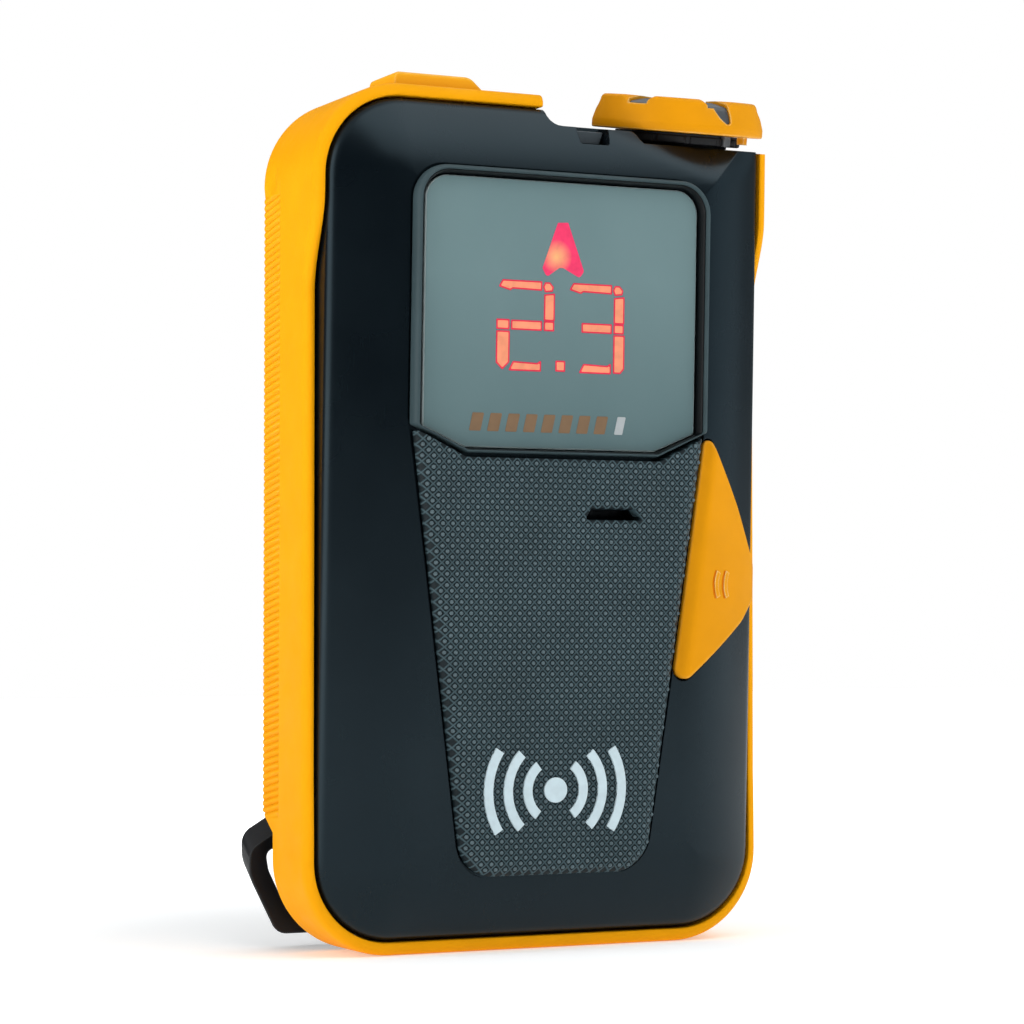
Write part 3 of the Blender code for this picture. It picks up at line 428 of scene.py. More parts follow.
def mesh_of(name, solids, matrix=None):
    """One mesh in metres holding these solids, with every face turned outwards."""
    points = []
    faces = []
    for solid_points, solid_faces in solids:
        first = len(points)
        points += solid_points
        faces += [tuple(first + index for index in face) for face in solid_faces]
    place = matrix or Matrix.Identity(4)
    mesh = bpy.data.meshes.new(name)
    mesh.from_pydata([tuple(place @ Vector(point) * MM) for point in points], [], faces)
    work = bmesh.new()
    work.from_mesh(mesh)
    bmesh.ops.recalc_face_normals(work, faces=work.faces)
    work.to_mesh(mesh)
    work.free()
    return mesh


def add(name, *solids, matrix=None):
    made = bpy.data.objects.new(name, mesh_of(name, solids, matrix))
    bpy.context.scene.collection.objects.link(made)
    return made


def apply_modifiers(made):
    graph = bpy.context.evaluated_depsgraph_get()
    mesh = bpy.data.meshes.new_from_object(made.evaluated_get(graph))
    made.modifiers.clear()
    made.data = mesh


def carve(made, *solids, operation="DIFFERENCE", matrix=None):
    """Cuts, joins or keeps the common part of a piece and some solids."""
    tool = add("tool", *solids, matrix=matrix)
    step = made.modifiers.new("carve", "BOOLEAN")
    step.object = tool
    step.operation = operation
    step.solver = "EXACT"
    apply_modifiers(made)
    bpy.data.objects.remove(tool, do_unlink=True)


def soften(made, width, segments=2, angle=40):
    """Rounds the edges of a piece in its geometry."""
    step = made.modifiers.new("soften", "BEVEL")
    step.width = width * MM
    step.segments = segments
    step.limit_method = "ANGLE"
    step.angle_limit = math.radians(angle)
    apply_modifiers(made)


def finish_piece(made, look, body, slot, *nodes):
    """Gives a piece its shading, material and body, and hides the CAD nodes it stands for."""
    made.data.materials.clear()
    made.data.materials.append(look)
    made.data.shade_smooth()
    made.data.set_sharp_from_angle(angle=SHARP_ANGLE)
    step = made.modifiers.new("even_shading", "WEIGHTED_NORMAL")
    step.keep_sharp = True
    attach(made, body)
    if nodes:
        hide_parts(*nodes)
    return made


# ---------------------------------------------------------------- materials


class Nodes:
    """A short way to build a material's node tree."""

    def __init__(self, name):
        self.material = bpy.data.materials.new(name)
        self.material.use_nodes = True
        self.tree = self.material.node_tree
        self.shader = self.tree.nodes["Principled BSDF"]
        place = self.add("ShaderNodeTexCoord")
        self.place = place.outputs["Object"]

    def add(self, kind, **settings):
        node = self.tree.nodes.new(kind)
        for key, value in settings.items():
            setattr(node, key, value)
        return node

    def link(self, source, target):
        self.tree.links.new(source, target)

    def set(self, **values):
        """Sets constants on the shader's own sockets."""
        for key, value in values.items():
            self.shader.inputs[key.replace("_", " ")].default_value = value

    def noise(self, scale, detail=3.0, roughness=0.5, stretch=None):
        node = self.add("ShaderNodeTexNoise")
        node.inputs["Scale"].default_value = scale
        node.inputs["Detail"].default_value = detail
        node.inputs["Roughness"].default_value = roughness
        source = self.place
        if stretch:
            mapping = self.add("ShaderNodeMapping")
            mapping.inputs["Scale"].default_value = stretch
            self.link(self.place, mapping.inputs["Vector"])
            source = mapping.outputs["Vector"]
        self.link(source, node.inputs["Vector"])
        return node.outputs["Fac"]

    def ranged(self, source, low, high, start=0.0, end=1.0):
        node = self.add("ShaderNodeMapRange")
        node.inputs["From Min"].default_value = start
        node.inputs["From Max"].default_value = end
        node.inputs["To Min"].default_value = low
        node.inputs["To Max"].default_value = high
        self.link(source, node.inputs["Value"])
        return node.outputs["Result"]

    def math(self, operation, first, second=0.0):
        node = self.add("ShaderNodeMath", operation=operation)
        for socket, value in zip(node.inputs, (first, second)):
            if isinstance(value, (int, float)):
                socket.default_value = value
            else:
                self.link(value, socket)
        return node.outputs["Value"]

    def mix(self, share, first, second):
        node = self.add("ShaderNodeMix", data_type="RGBA")
        for socket, value in ((node.inputs[0], share), (node.inputs[6], first), (node.inputs[7], second)):
            if isinstance(value, (int, float)):
                socket.default_value = value
            elif isinstance(value, tuple):
                socket.default_value = (*value, 1.0)
            else:
                self.link(value, socket)
        return node.outputs[2]

    def edges(self, radius):
        """0 on open surfaces, rising towards 1 on edges sharper than the radius."""
        soft = self.add("ShaderNodeBevel", samples=4)
        soft.inputs["Radius"].default_value = radius * MM
        plain = self.add("ShaderNodeNewGeometry")
        dot = self.add("ShaderNodeVectorMath", operation="DOT_PRODUCT")
        self.link(soft.outputs["Normal"], dot.inputs[0])
        self.link(plain.outputs["Normal"], dot.inputs[1])
        return self.ranged(dot.outputs["Value"], 1.0, 0.0, 0.75, 0.995)

    def bump(self, *layers, bevel=0.0):
        """Bump layers of (height, depth in mm), over an optional soft edge."""
        normal = None
        if bevel:
            soft = self.add("ShaderNodeBevel", samples=6)
            soft.inputs["Radius"].default_value = bevel * MM
            normal = soft.outputs["Normal"]
        for height, depth in layers:
            node = self.add("ShaderNodeBump")
            node.inputs["Strength"].default_value = 1.0
            node.inputs["Distance"].default_value = depth * MM
            self.link(height, node.inputs["Height"])
            if normal:
                self.link(normal, node.inputs["Normal"])
            normal = node.outputs["Normal"]
        self.link(normal, self.shader.inputs["Normal"])

    def colour(self, source):
        self.link(source, self.shader.inputs["Base Color"])

    def rough(self, source):
        self.link(source, self.shader.inputs["Roughness"])


def moulded(name, colour, rough, grain=0.012, grain_scale=2600.0, tone=0.08, edge_highlight=None, bevel=0.12,
            specular=0.5):
    """Moulded plastic or rubber: fine spark-eroded grain, cloudy roughness and tone, and edges lightened as a
    painted highlight, broken up by noise.
    """
    n = Nodes(name)
    darker = tuple(value * (1 - tone) for value in colour)
    lighter = tuple(min(value * (1 + tone) + tone * 0.01, 1.0) for value in colour)
    base = n.mix(n.ranged(n.noise(140.0, 4.0), 0.0, 1.0, 0.3, 0.7), darker, lighter)
    if edge_highlight:
        # Painted highlight: the edges are lightened towards the given pale colour, broken up by noise, to stand
        # for the light rim along them.
        highlit_edges = n.math("MULTIPLY", n.edges(0.45), n.ranged(n.noise(900.0, 4.0), 0.35, 0.95, 0.35, 0.65))
        base = n.mix(highlit_edges, base, edge_highlight)
    n.colour(base)
    n.rough(n.ranged(n.noise(260.0, 5.0), rough * 0.85, rough * 1.15, 0.3, 0.7))
    n.set(Specular_IOR_Level=specular)
    n.bump((n.noise(grain_scale, 2.0), grain), (n.noise(220.0, 2.0), 0.01), bevel=bevel)
    return n.material


def metal(name, colour, rough, stretch=(1.0, 1.0, 1.0)):
    n = Nodes(name)
    streaks = n.noise(1500.0, 4.0, stretch=stretch)
    n.colour(n.mix(n.ranged(n.noise(300.0, 4.0), 0.0, 0.6), colour, tuple(value * 0.72 for value in colour)))
    n.rough(n.ranged(streaks, rough * 0.7, rough * 1.4, 0.3, 0.7))
    n.set(Metallic=1.0)
    n.bump((streaks, 0.006), bevel=0.08)
    return n.material


def glossy_shell():
    """The housing: black gloss with a faint orange peel, fine dust and hairline scratches."""
    n = Nodes("housing_gloss")
    dust = n.ranged(n.noise(5200.0, 2.0), 0.0, 1.0, 0.70, 0.76)
    shade = n.ranged(n.noise(90.0, 3.0), 0.0, 1.0, 0.3, 0.7)
    base = n.mix(shade, (0.0012, 0.0026, 0.0042), (0.0022, 0.0042, 0.0062))
    n.colour(n.mix(n.math("MULTIPLY", dust, 0.08), base, (0.12, 0.13, 0.14)))
    scratches = n.ranged(n.noise(700.0, 5.0, stretch=(6.0, 1.0, 0.35)), 0.0, 1.0, 0.60, 0.72)
    cloud = n.ranged(n.noise(60.0, 4.0), 0.25, 0.30, 0.3, 0.7)
    n.rough(n.math("ADD", cloud, n.math("MULTIPLY", scratches, 0.005)))
    n.set(Specular_IOR_Level=0.3, Specular_Tint=(0.60, 0.86, 1.0, 1.0))
    n.bump((n.noise(420.0, 2.0), 0.004), (n.noise(2600.0, 2.0), 0.0012), bevel=0.15)
    return n.material


def grip_rubber(name, colour, hollow_shade=None, specular=0.2):
    """Matt rubber. Given a shade colour, a net of fine ridges rises round each of the pad's dots, and the hollows
    between the ridges take that colour as painted shade.
    """
    n = Nodes(name)
    shade = n.ranged(n.noise(120.0, 3.0), 0.0, 1.0, 0.3, 0.7)
    base = n.mix(shade, tuple(value * 0.9 for value in colour), tuple(value * 1.12 for value in colour))
    layers = [(n.noise(3200.0, 3.0), 0.012)]
    if hollow_shade:
        parts = n.add("ShaderNodeSeparateXYZ")
        n.link(n.place, parts.inputs[0])
        across = n.math("MULTIPLY", parts.outputs[0], 1.0 / (DOT_PITCH * MM))
        risen = n.math("SUBTRACT", parts.outputs[2], DOT_START * MM)
        up = n.math("MULTIPLY", risen, 1.0 / (2 * DOT_ROW * MM))
        waves = [n.math("PINGPONG", n.math(way, across, up), 0.5) for way in ("ADD", "SUBTRACT")]
        ridge = n.ranged(n.math("MAXIMUM", waves[0], waves[1]), 0.0, 1.0, 0.33, 0.46)
        layers.append((ridge, 0.14))
        # Painted shade: the hollows between the ridges take the dark shade colour.
        base = n.mix(ridge, hollow_shade, base)
    n.colour(base)
    n.rough(n.ranged(n.noise(500.0, 4.0), 0.48, 0.62, 0.3, 0.7))
    n.set(Specular_IOR_Level=specular)
    n.bump(*layers, bevel=0.1)
    return n.material


def lens_glass():
    """The smoked window: smoked grey glass with painted shade that darkens it downwards, faint smears and a
    painted highlight along its rim.
    """
    n = Nodes("smoked_window")
    smear = n.ranged(n.noise(45.0, 4.0, stretch=(1.0, 1.0, 0.6)), 0.0, 1.0, 0.35, 0.7)
    parts = n.add("ShaderNodeSeparateXYZ")
    n.link(n.place, parts.inputs[0])
    # Painted shade: the glass colour darkens towards the bottom of the window, as if it were lit from above.
    downward_shade = n.ranged(parts.outputs[2], 0.0, 1.0, LENS_LOW * MM, (LENS_LOW + 24.0) * MM)
    high = n.mix(smear, (0.150, 0.232, 0.240), (0.168, 0.254, 0.262))
    low = n.mix(smear, (0.098, 0.158, 0.166), (0.112, 0.176, 0.184))
    base = n.mix(downward_shade, low, high)
    plain = n.add("ShaderNodeNewGeometry")
    turned_away = n.add("ShaderNodeVectorMath", operation="DOT_PRODUCT")
    n.link(plain.outputs["Normal"], turned_away.inputs[0])
    lean = math.atan2(FACE_LOW_Y - FACE_HIGH_Y, SHELL_HIGH - SHELL_LOW)
    turned_away.inputs[1].default_value = (0.0, -math.cos(lean), -math.sin(lean))
    # Painted highlight: faces along the window's edge that turn away from the face's plane are lightened towards a
    # pale rim colour.
    rim = n.ranged(turned_away.outputs["Value"], 0.85, 0.0, 0.70, 0.97)
    n.colour(n.mix(rim, base, (0.72, 0.84, 0.84)))
    n.rough(n.ranged(n.noise(300.0, 5.0), 0.16, 0.24, 0.3, 0.7))
    n.set(Specular_IOR_Level=0.45, Coat_Weight=0.2, Coat_Roughness=0.08)
    n.bump((n.noise(2800.0, 2.0), 0.0015), bevel=0.12)
    return n.material


def glow(name, colour, strength, centre=None, core=None, reach=2.0):
    """A lit segment, brighter about an optional centre, with a little unevenness in its diffuser."""
    n = Nodes(name)
    uneven = n.ranged(n.noise(700.0, 3.0), 0.9, 1.08, 0.3, 0.7)
    light = n.mix(n.ranged(n.noise(420.0, 2.0), 0.0, 0.5, 0.3, 0.7), colour, tuple(v * 0.85 for v in colour))
    if centre:
        away = n.add("ShaderNodeVectorMath", operation="DISTANCE")
        n.link(n.place, away.inputs[0])
        away.inputs[1].default_value = tuple(value * MM for value in centre)
        light = n.mix(n.ranged(away.outputs["Value"], 1.0, 0.0, 0.2 * MM, reach * MM), light, core)
    n.link(light, n.shader.inputs["Emission Color"])
    n.link(n.math("MULTIPLY", uneven, strength), n.shader.inputs["Emission Strength"])
    n.colour(n.mix(0.5, (0.02, 0.0, 0.0), (0.03, 0.0, 0.0)))
    n.set(Roughness=0.4, Specular_IOR_Level=0.2)
    return n.material


def printed(name, colour):
    """Pad print: a thin, slightly uneven ink."""
    n = Nodes(name)
    shade = n.ranged(n.noise(800.0, 5.0), 0.0, 1.0, 0.35, 0.7)
    n.colour(n.mix(shade, colour, tuple(v * 0.9 for v in colour)))
    n.rough(n.ranged(n.noise(1200.0, 3.0), 0.42, 0.6))
    n.bump((n.noise(3000.0, 2.0), 0.008), bevel=0.05)
    return n.material


def circuit_board():
    n = Nodes("board_green")
    cells = n.add("ShaderNodeTexVoronoi", distance="MANHATTAN")
    cells.inputs["Scale"].default_value = 420.0
    n.link(n.place, cells.inputs["Vector"])
    tracks = n.ranged(cells.outputs["Distance"], 0.0, 1.0, 0.45, 0.5)
    n.colour(n.mix(tracks, (0.008, 0.10, 0.03), (0.02, 0.20, 0.07)))
    n.rough(n.ranged(n.noise(500.0), 0.25, 0.4))
    n.bump((tracks, 0.03), bevel=0.08)
    return n.material


def cell_jacket():
    """A printed steel jacket: dark foil with one pale band."""
    n = Nodes("cell_jacket")
    parts = n.add("ShaderNodeSeparateXYZ")
    n.link(n.place, parts.inputs[0])
    band = n.ranged(parts.outputs[2], 0.0, 1.0, 0.0475, 0.0478)
    n.colour(n.mix(band, (0.03, 0.035, 0.045), (0.55, 0.42, 0.16)))
    n.rough(n.ranged(n.noise(400.0, 4.0), 0.22, 0.38))
    n.set(Metallic=0.6)
    n.bump((n.noise(900.0, 2.0), 0.004), bevel=0.1)
    return n.material


def winding():
    """Fine enamelled wire, laid turn by turn."""
    n = Nodes("copper_winding")
    wave = n.add("ShaderNodeTexWave", wave_type="BANDS", bands_direction="Z")
    wave.inputs["Scale"].default_value = 900.0
    n.link(n.place, wave.inputs["Vector"])
    n.colour(n.mix(n.ranged(wave.outputs["Fac"], 0.0, 1.0), (0.30, 0.09, 0.03), (0.72, 0.30, 0.12)))
    n.rough(n.ranged(n.noise(900.0), 0.25, 0.4))
    n.set(Metallic=0.9)
    n.bump((wave.outputs["Fac"], 0.08))
    return n.material


ORANGE = (0.93, 0.385, 0.001)
BUTTON_ORANGE = (0.80, 0.315, 0.001)

looks = {
    "housing": glossy_shell(),
    "bumper": moulded("bumper_rubber", ORANGE, 0.6, grain=0.02, grain_scale=1700.0, tone=0.03,
                      bevel=0.15, specular=0.07),
    # The paler edge colours given to the control, lock, lug and inlay looks are painted edge highlights.
    "control": moulded("control_orange", BUTTON_ORANGE, 0.5, grain=0.022, grain_scale=2200.0, tone=0.04,
                       edge_highlight=(1.0, 0.74, 0.30), bevel=0.15, specular=0.10),
    "lock": moulded("lock_orange", (1.0, 0.46, 0.012), 0.55, grain=0.02, tone=0.03, edge_highlight=(1.0, 0.74, 0.30),
                    bevel=0.15, specular=0.12),
    # Painted shade: a deep orange for the thin line that stands for the shadow along the option button's raised
    # marks.
    "mark_painted_shade": moulded("mark_painted_shade", (0.70, 0.175, 0.001), 0.55, tone=0.06, specular=0.05),
    # The pad's last colour is painted shade for the hollows round its dots.
    "grip": grip_rubber("grip_rubber", (0.056, 0.094, 0.108), hollow_shade=(0.005, 0.011, 0.014)),
    # Painted light: the dots are a lighter copy of the pad's rubber, standing for their lit tops.
    "grip_dots": grip_rubber("grip_dot_rubber_painted_light", (0.080, 0.120, 0.136), specular=0.4),
    "frame_rubber": grip_rubber("frame_rubber", (0.042, 0.068, 0.076)),
    "lip": moulded("lens_lip_black", (0.002, 0.003, 0.004), 0.35, specular=0.2),
    "lens": lens_glass(),
    "lamp": moulded("lamp_window", (0.055, 0.068, 0.078), 0.3, grain=0.004),
    "seal": moulded("seal_rubber", (0.012, 0.012, 0.014), 0.75),
    "inner_plastic": moulded("inner_plastic", (0.007, 0.008, 0.010), 0.5, specular=0.25),
    "lug": moulded("lug_nylon", (0.006, 0.007, 0.009), 0.42, grain=0.02, edge_highlight=(0.05, 0.055, 0.06),
                   specular=0.3),
    "inlay": moulded("inlay_grey", (0.052, 0.060, 0.068), 0.4, edge_highlight=(0.2, 0.22, 0.24)),
    "display": moulded("display_module", (0.33, 0.34, 0.34), 0.5),
    "board": circuit_board(),
    "steel": metal("bright_steel", (0.62, 0.62, 0.60), 0.28),
    "dark_mesh": metal("dark_mesh", (0.018, 0.020, 0.022), 0.5),
    "brass": metal("turned_brass", (0.72, 0.50, 0.19), 0.3),
    "winding": winding(),
    "ferrite": moulded("sintered_ferrite", (0.05, 0.05, 0.054), 0.65, grain=0.03),
    "cell": cell_jacket(),
    "print": printed("pale_print", (0.60, 0.73, 0.78)),
    "scale_print": printed("amber_print", (0.20, 0.115, 0.055)),
    "scale_pale": printed("scale_pale", (0.42, 0.45, 0.46)),
    "led_edge": glow("led_edge", (1.0, 0.035, 0.10), 0.85),
    "led_core": glow("led_core", (1.0, 0.36, 0.20), 1.0),
    "led_arrow": glow("led_arrow", (0.98, 0.055, 0.17), 1.0, centre=(-1.1, -14.4, 96.6),
                      core=(1.0, 0.50, 0.22), reach=2.4),
}


# ---------------------------------------------------------------- housing


def notch(drop=0.0, margin=0.0, front=-30.0, back=36.0):
    """The room for the dial at the top right of the housing; it rises towards the back with the dial."""
    low = NOTCH_LOW - drop
    step = NOTCH_STEP - drop
    outline = [
        (-1.2 - margin, 140.0),
        (-1.2 - margin, step + 1.9),
        (-1.05 - margin, step + 1.25),
        (-0.7 - margin, step + 0.7),
        (-0.2 - margin, step + 0.3),
        (0.4 - margin, step + 0.07),
        (1.2 - margin, step),
        (12.4 - margin, step),
        (12.9 - margin, step - 0.3),
        (13.3 - margin, low + 0.5),
        (13.8 - margin, low),
        (60.0, low),
        (60.0, 140.0),
    ]
    loops = []
    slope = math.tan(math.asin(-DIAL_AXIS.y))
    for y in (front, back):
        loops.append([(x, y, z + (y - FACE_HIGH_Y) * slope) for x, z in outline])
    return loft(loops)


def face_rings():
    """Loops from the parting line over the side wall and its rounded edge, then across the dome."""
    corners = shell_corners()
    loops = [flat_loop(rounded(corners), PARTING_Y)]
    slope = 2 * DOME_RISE / DOME_REACH
    join = 1.2
    start = Vector((0.0, -0.9))
    end = Vector((join, dome(join)))
    bend = Vector((0.0, dome(join) - slope * (1 - join / DOME_REACH) * join))
    for step in range(7):
        share = step / 6
        inset, height = start.lerp(bend, share).lerp(bend.lerp(end, share), share)
        loops.append(face_loop(rounded(offset(corners, -inset)), height))
    insets = [join + (DOME_REACH - join) * (step + 1) / 15 for step in range(15)]
    loops += [face_loop(rounded(offset(corners, -inset)), dome(inset)) for inset in insets]
    return loops


def make_front_shell():
    loops = dense(face_rings(), 0.9)
    sunk = []
    for loop in loops:
        sunk.append([(x, y + scoop(x, z) if y < PARTING_Y - 1 else y, z) for x, y, z in loop])
    shell = add("housing_front", loft(sunk))
    inner = [flat_loop(rounded(offset(shell_corners(), -SHELL_WALL)), PARTING_Y + 5.0)]
    for inset in (SHELL_WALL, 4.5, 7.5, 10.5, DOME_REACH):
        inner.append(face_loop(rounded(offset(shell_corners(), -inset)), dome(inset) - FRONT_WALL))
    cavity = add("cavity", loft(inner))
    carve(cavity, notch(drop=3.4, margin=2.0))
    cavity_mesh = ([tuple(vertex.co / MM) for vertex in cavity.data.vertices],
                   [tuple(face.vertices) for face in cavity.data.polygons])
    bpy.data.objects.remove(cavity, do_unlink=True)
    carve(shell, cavity_mesh)
    boss = rod((0, 0, -7.2), (0, 0, -3.5), 5.2)
    carve(shell, boss, operation="UNION", matrix=DIAL_PLACE)
    posts = [tube((x, face_y(z) - 1.2, z), (x, PARTING_Y, z), 3.2, 1.5, steps=32) for x, z in CASE_SCREWS]
    carve(shell, *posts, operation="UNION")
    carve(shell, notch())
    bore = turned((0, 0, -9), (0, 0, 2), [(2.65, 0), (2.65, 5.0), (4.3, 5.0), (4.3, 11.0)])
    carve(shell, bore, matrix=DIAL_PLACE)
    carve(shell, flat_plate(rounded(offset(island_corners(), GAP)), ISLAND_FLOOR, CLEAR_HEIGHT))
    carve(shell, flat_plate(rounded(bezel_corners(GAP)), LENS_FLOOR, CLEAR_HEIGHT))
    window = box_outline(-18.3, 18.3, 73.2, 104.0, 2.0)
    carve(
        shell,
        flat_plate(rounded(window), -4.0, CLEAR_HEIGHT),
        flat_plate(slot_outline(), -4.0, CLEAR_HEIGHT),
        rod((BUTTON_STEM.x, -20.0, BUTTON_STEM.y), (BUTTON_STEM.x, -5.0, BUTTON_STEM.y), 2.2, steps=32),
        rod((LOCK_STEM.x, LOCK_STEM.y, 105.0), (LOCK_STEM.x, LOCK_STEM.y, 125.0), 1.8, steps=32),
    )
    carve(shell, surface_patch(offset(button_corners(), 0.32), lambda x, z: CLEAR_HEIGHT, depth=-1.9))
    mouth = [(2.9, 112.9), (3.3, 112.5), (8.2, 112.5), (8.7, 112.9), (9.7, 120.0), (2.0, 120.0)]
    floor = [(3.5, 113.2), (3.7, 113.0), (7.7, 113.0), (7.9, 113.2), (8.9, 120.0), (2.7, 120.0)]
    carve(shell, loft([flat_loop(mouth, -30.0), [(x, -7.9 if z > 118 else -9.2, z) for x, z in floor]]))
    return finish_piece(shell, looks["housing"], "housing", "housing", "front_shell")


def make_rear_shell():
    corners = shell_corners(top_right=3.0)
    round_over = 4.0
    loops = [flat_loop(rounded(corners), PARTING_Y + GAP)]
    for step in range(11):
        angle = math.radians(90 * step / 10)
        inset = round_over * (1 - math.cos(angle))
        y = BACK_Y - round_over + round_over * math.sin(angle)
        loops.append(flat_loop(rounded(offset(corners, -inset)), y))
    shell = add("housing_rear", loft(loops))
    inner = rounded(offset(corners, -SHELL_WALL))
    lip = rounded(offset(corners, -0.8))
    smaller = rounded(offset(corners, -SHELL_WALL - 1.6))
    cavity = [
        flat_loop(lip, PARTING_Y - 2),
        flat_loop(lip, PARTING_Y + 1.7),
        flat_loop(inner, PARTING_Y + 1.7),
        flat_loop(inner, BACK_Y - REAR_WALL - 1.4),
        flat_loop(smaller, BACK_Y - REAR_WALL),
    ]
    carve(shell, loft(cavity))
    corner_block = box_outline(-32.6, -20.8, 3.0, 19.6, 0.6)
    corner_block[0] = (-32.6, 3.0, 10.2)
    fill = [block((-16.0, 9.4, 62.6), (16.0, 11.5, 66.2)), block((-4.0, 9.0, 5.0), (4.0, 11.0, 11.5))]
    fill.append(prism(rounded(corner_block), 6.8, 11.5))
    for x, z in CASE_SCREWS[1:]:
        fill.append(tube((x, PARTING_Y + GAP, z), (x, 11.5, z), 3.2, 1.8, steps=32))
    carve(shell, *fill, operation="UNION")
    seat = rounded(box_outline(-DOOR_HALF_WIDTH - GAP, DOOR_HALF_WIDTH + GAP, DOOR_LOW - GAP, 62.4, 1.5))
    carve(shell, prism(seat, 11.4, 20.0))
    carve(shell, prism(rounded(box_outline(-17.3, 17.3, 12.0, 58.6, 1.0)), 4.0, 20.0))
    for side in (-1, 1):
        carve(shell, block((side * ARM_X - 2.4, 8.0, 60.9), (side * ARM_X + 2.4, 20.0, 66.0)))
    carve(shell, rod((-14.5, HINGE.y, HINGE.z), (14.5, HINGE.y, HINGE.z), 0.75, steps=32))
    carve(shell, prism(rounded(box_outline(-60.0, -21.3, 1.6, 19.0, 0.8)), 9.9, 30.0))
    carve(shell, prism([(-60.0, 0.0), (-27.6, 0.0), (-27.6, 14.2), (-60.0, 14.2)], 8.0, 10.6))
    carve(shell, rod((0, 0, -2.3), (0, 0, 9.0), 9.9), matrix=DIAL_PLACE)
    holes = [rod((0, 7.0, DOOR_SCREW_Z), (0, 12.0, DOOR_SCREW_Z), 1.7, steps=32)]
    for x, z in CASE_SCREWS[1:]:
        counterbore = [(1.6, 0), (1.6, 8.0), (2.9, 8.0), (2.9, 16.0)]
        holes.append(turned((x, 3.6, z), (x, 20.0, z), counterbore, steps=48))
    lug_x, lug_z = CASE_SCREWS[0]
    holes.append(rod((lug_x, 3.6, lug_z), (lug_x, 20.0, lug_z), 1.6, steps=32))
    carve(shell, *holes)
    grooves = [prism(rounded(box_outline(-14.0, 14.0, z - 0.45, z + 0.45, 0.4), 4), BACK_Y - 0.5, 20.0)
               for z in (72.0, 74.6, 77.2, 79.8, 82.4)]
    carve(shell, *grooves)
    return finish_piece(shell, looks["housing"], "housing", "housing", "rear_shell")


# ---------------------------------------------------------------- bumper


def bumper_front(z):
    """The bumper's front edge: level with the face at the top and the foot, set back down the sides."""
    level = face_y(z) + 0.2
    if z >= SHOULDER_LOW:
        share = smooth((z - SHOULDER_LOW) / (SHOULDER_HIGH - SHOULDER_LOW))
    else:
        share = max(1 - z / FOOT_HIGH, 0.0)
    return BUMPER_SIDE_Y + (level - BUMPER_SIDE_Y) * share


def rib_depth(y, z):
    """Rounded ribs with sharp grooves between them; they climb forwards and fade in at both ends."""
    phase = ((z - RIB_SLANT * (BUMPER_BACK_Y - y)) / RIB_PITCH) % 1.0
    tooth = abs(2 * phase - 1) ** 2
    ends = smooth((z - RIB_LOW) / 1.0) * smooth((RIB_HIGH - z) / 1.0)
    return RIB_DEPTH * tooth * ends


def bumper_points(half, low, high, radius, side_heights):
    """One outline of the bumper, with a point on each straight side at each of the given heights."""
    corners = [(-half, low, radius), (half, low, radius), (half, high, 1.4), (-half, high, radius)]
    steps = 22
    quarter = steps + 1
    arcs = rounded(corners, steps)
    right = [(half, z) for z in side_heights]
    left = [(-half, z) for z in reversed(side_heights)]
    return arcs[:2 * quarter] + right + arcs[2 * quarter:] + left


def make_bumper():
    side_low, side_high = 13.6, 105.6
    count = round((side_high - side_low) / (RIB_PITCH / 7))
    heights = [side_low + (side_high - side_low) * i / count for i in range(count + 1)]
    inner = bumper_points(
        SHELL_HALF_WIDTH + GAP, SHELL_LOW - GAP, SHELL_HIGH + GAP, SHELL_CORNER + GAP, heights
    )
    outer = bumper_points(BUMPER_HALF_WIDTH, 0.0, BUMPER_HIGH, BUMPER_CORNER, heights)
    thick = BUMPER_HALF_WIDTH - SHELL_HALF_WIDTH - GAP

    def ring(share, depth, ribbed=0.0):
        loop = []
        for (xi, zi), (xo, zo) in zip(inner, outer):
            z_here = zi + (zo - zi) * share
            y = depth(zi)
            part = share - ribbed * rib_depth(y, z_here) / thick
            loop.append((xi + (xo - xi) * part, y, zi + (zo - zi) * part))
        return loop

    loops = []
    lip_end = 1.7
    rib_start = RIB_FRONT_Y - 0.35
    front = [(0.0, 0.15), (0.06, -0.05), (0.2, -0.12), (0.4, -0.08), (0.62, 0.08), (0.8, 0.35), (0.91, 0.7)]
    for share, back in front + [(0.98, 1.15), (1.0, lip_end)]:
        loops.append(ring(share, lambda z, back=back: bumper_front(z) + back))
    for share in (0.35, 0.7):
        loops.append(ring(1.0, lambda z, t=share: (bumper_front(z) + lip_end) * (1 - t) + rib_start * t))
    loops.append(ring(1.0, lambda z: rib_start))
    for y in (0.0, 0.4, 1.2, 2.0, 2.8, 3.6, 4.4, 5.2):
        loops.append(ring(1.0, lambda z, y=y: RIB_FRONT_Y + y, ribbed=min(y / 0.4, 1.0)))
    rear = [(1.0, 0.6, 1.0), (0.96, 0.3, 0.4), (0.86, 0.1, 0.4), (0.6, 0.0, 0.0), (0.2, 0.0, 0.0), (0.0, 0.1, 0.0)]
    for share, back, ribbed in rear:
        loops.append(ring(share, lambda z, back=back: BUMPER_BACK_Y - back, ribbed=ribbed))
    bumper = add("bumper_wrap", loft(loops, ring=True))
    slope = math.tan(math.asin(-DIAL_AXIS.y))
    carve(bumper, block((-1.3, -40.0, 60.0), (SHELL_HALF_WIDTH + 0.2, 40.0, 140.0)))
    ends = []
    for y in (-30.0, 40.0):
        z = NOTCH_LOW - 0.2 + (y - FACE_HIGH_Y) * slope
        ends.append([(33.0, y, z), (60.0, y, z), (60.0, y, 160.0), (33.0, y, 160.0)])
    carve(bumper, loft(ends))
    relief = [(5.2, -10.0), (20.0, -10.0), (20.0, 19.6), (BUMPER_BACK_Y, 19.6), (5.2, 16.6)]
    carve(bumper, loft([[(x, y, z) for y, z in relief] for x in (-60.0, -20.0)]))
    window = box_outline(lock_low.x - 0.4, lock_high.x + 0.4, 110.0, 130.0, 0)
    carve(bumper, prism(rounded(window), lock_low.y - 0.4, lock_high.y + 0.4))
    return finish_piece(bumper, looks["bumper"], "housing", "bumper", "side_bumper")


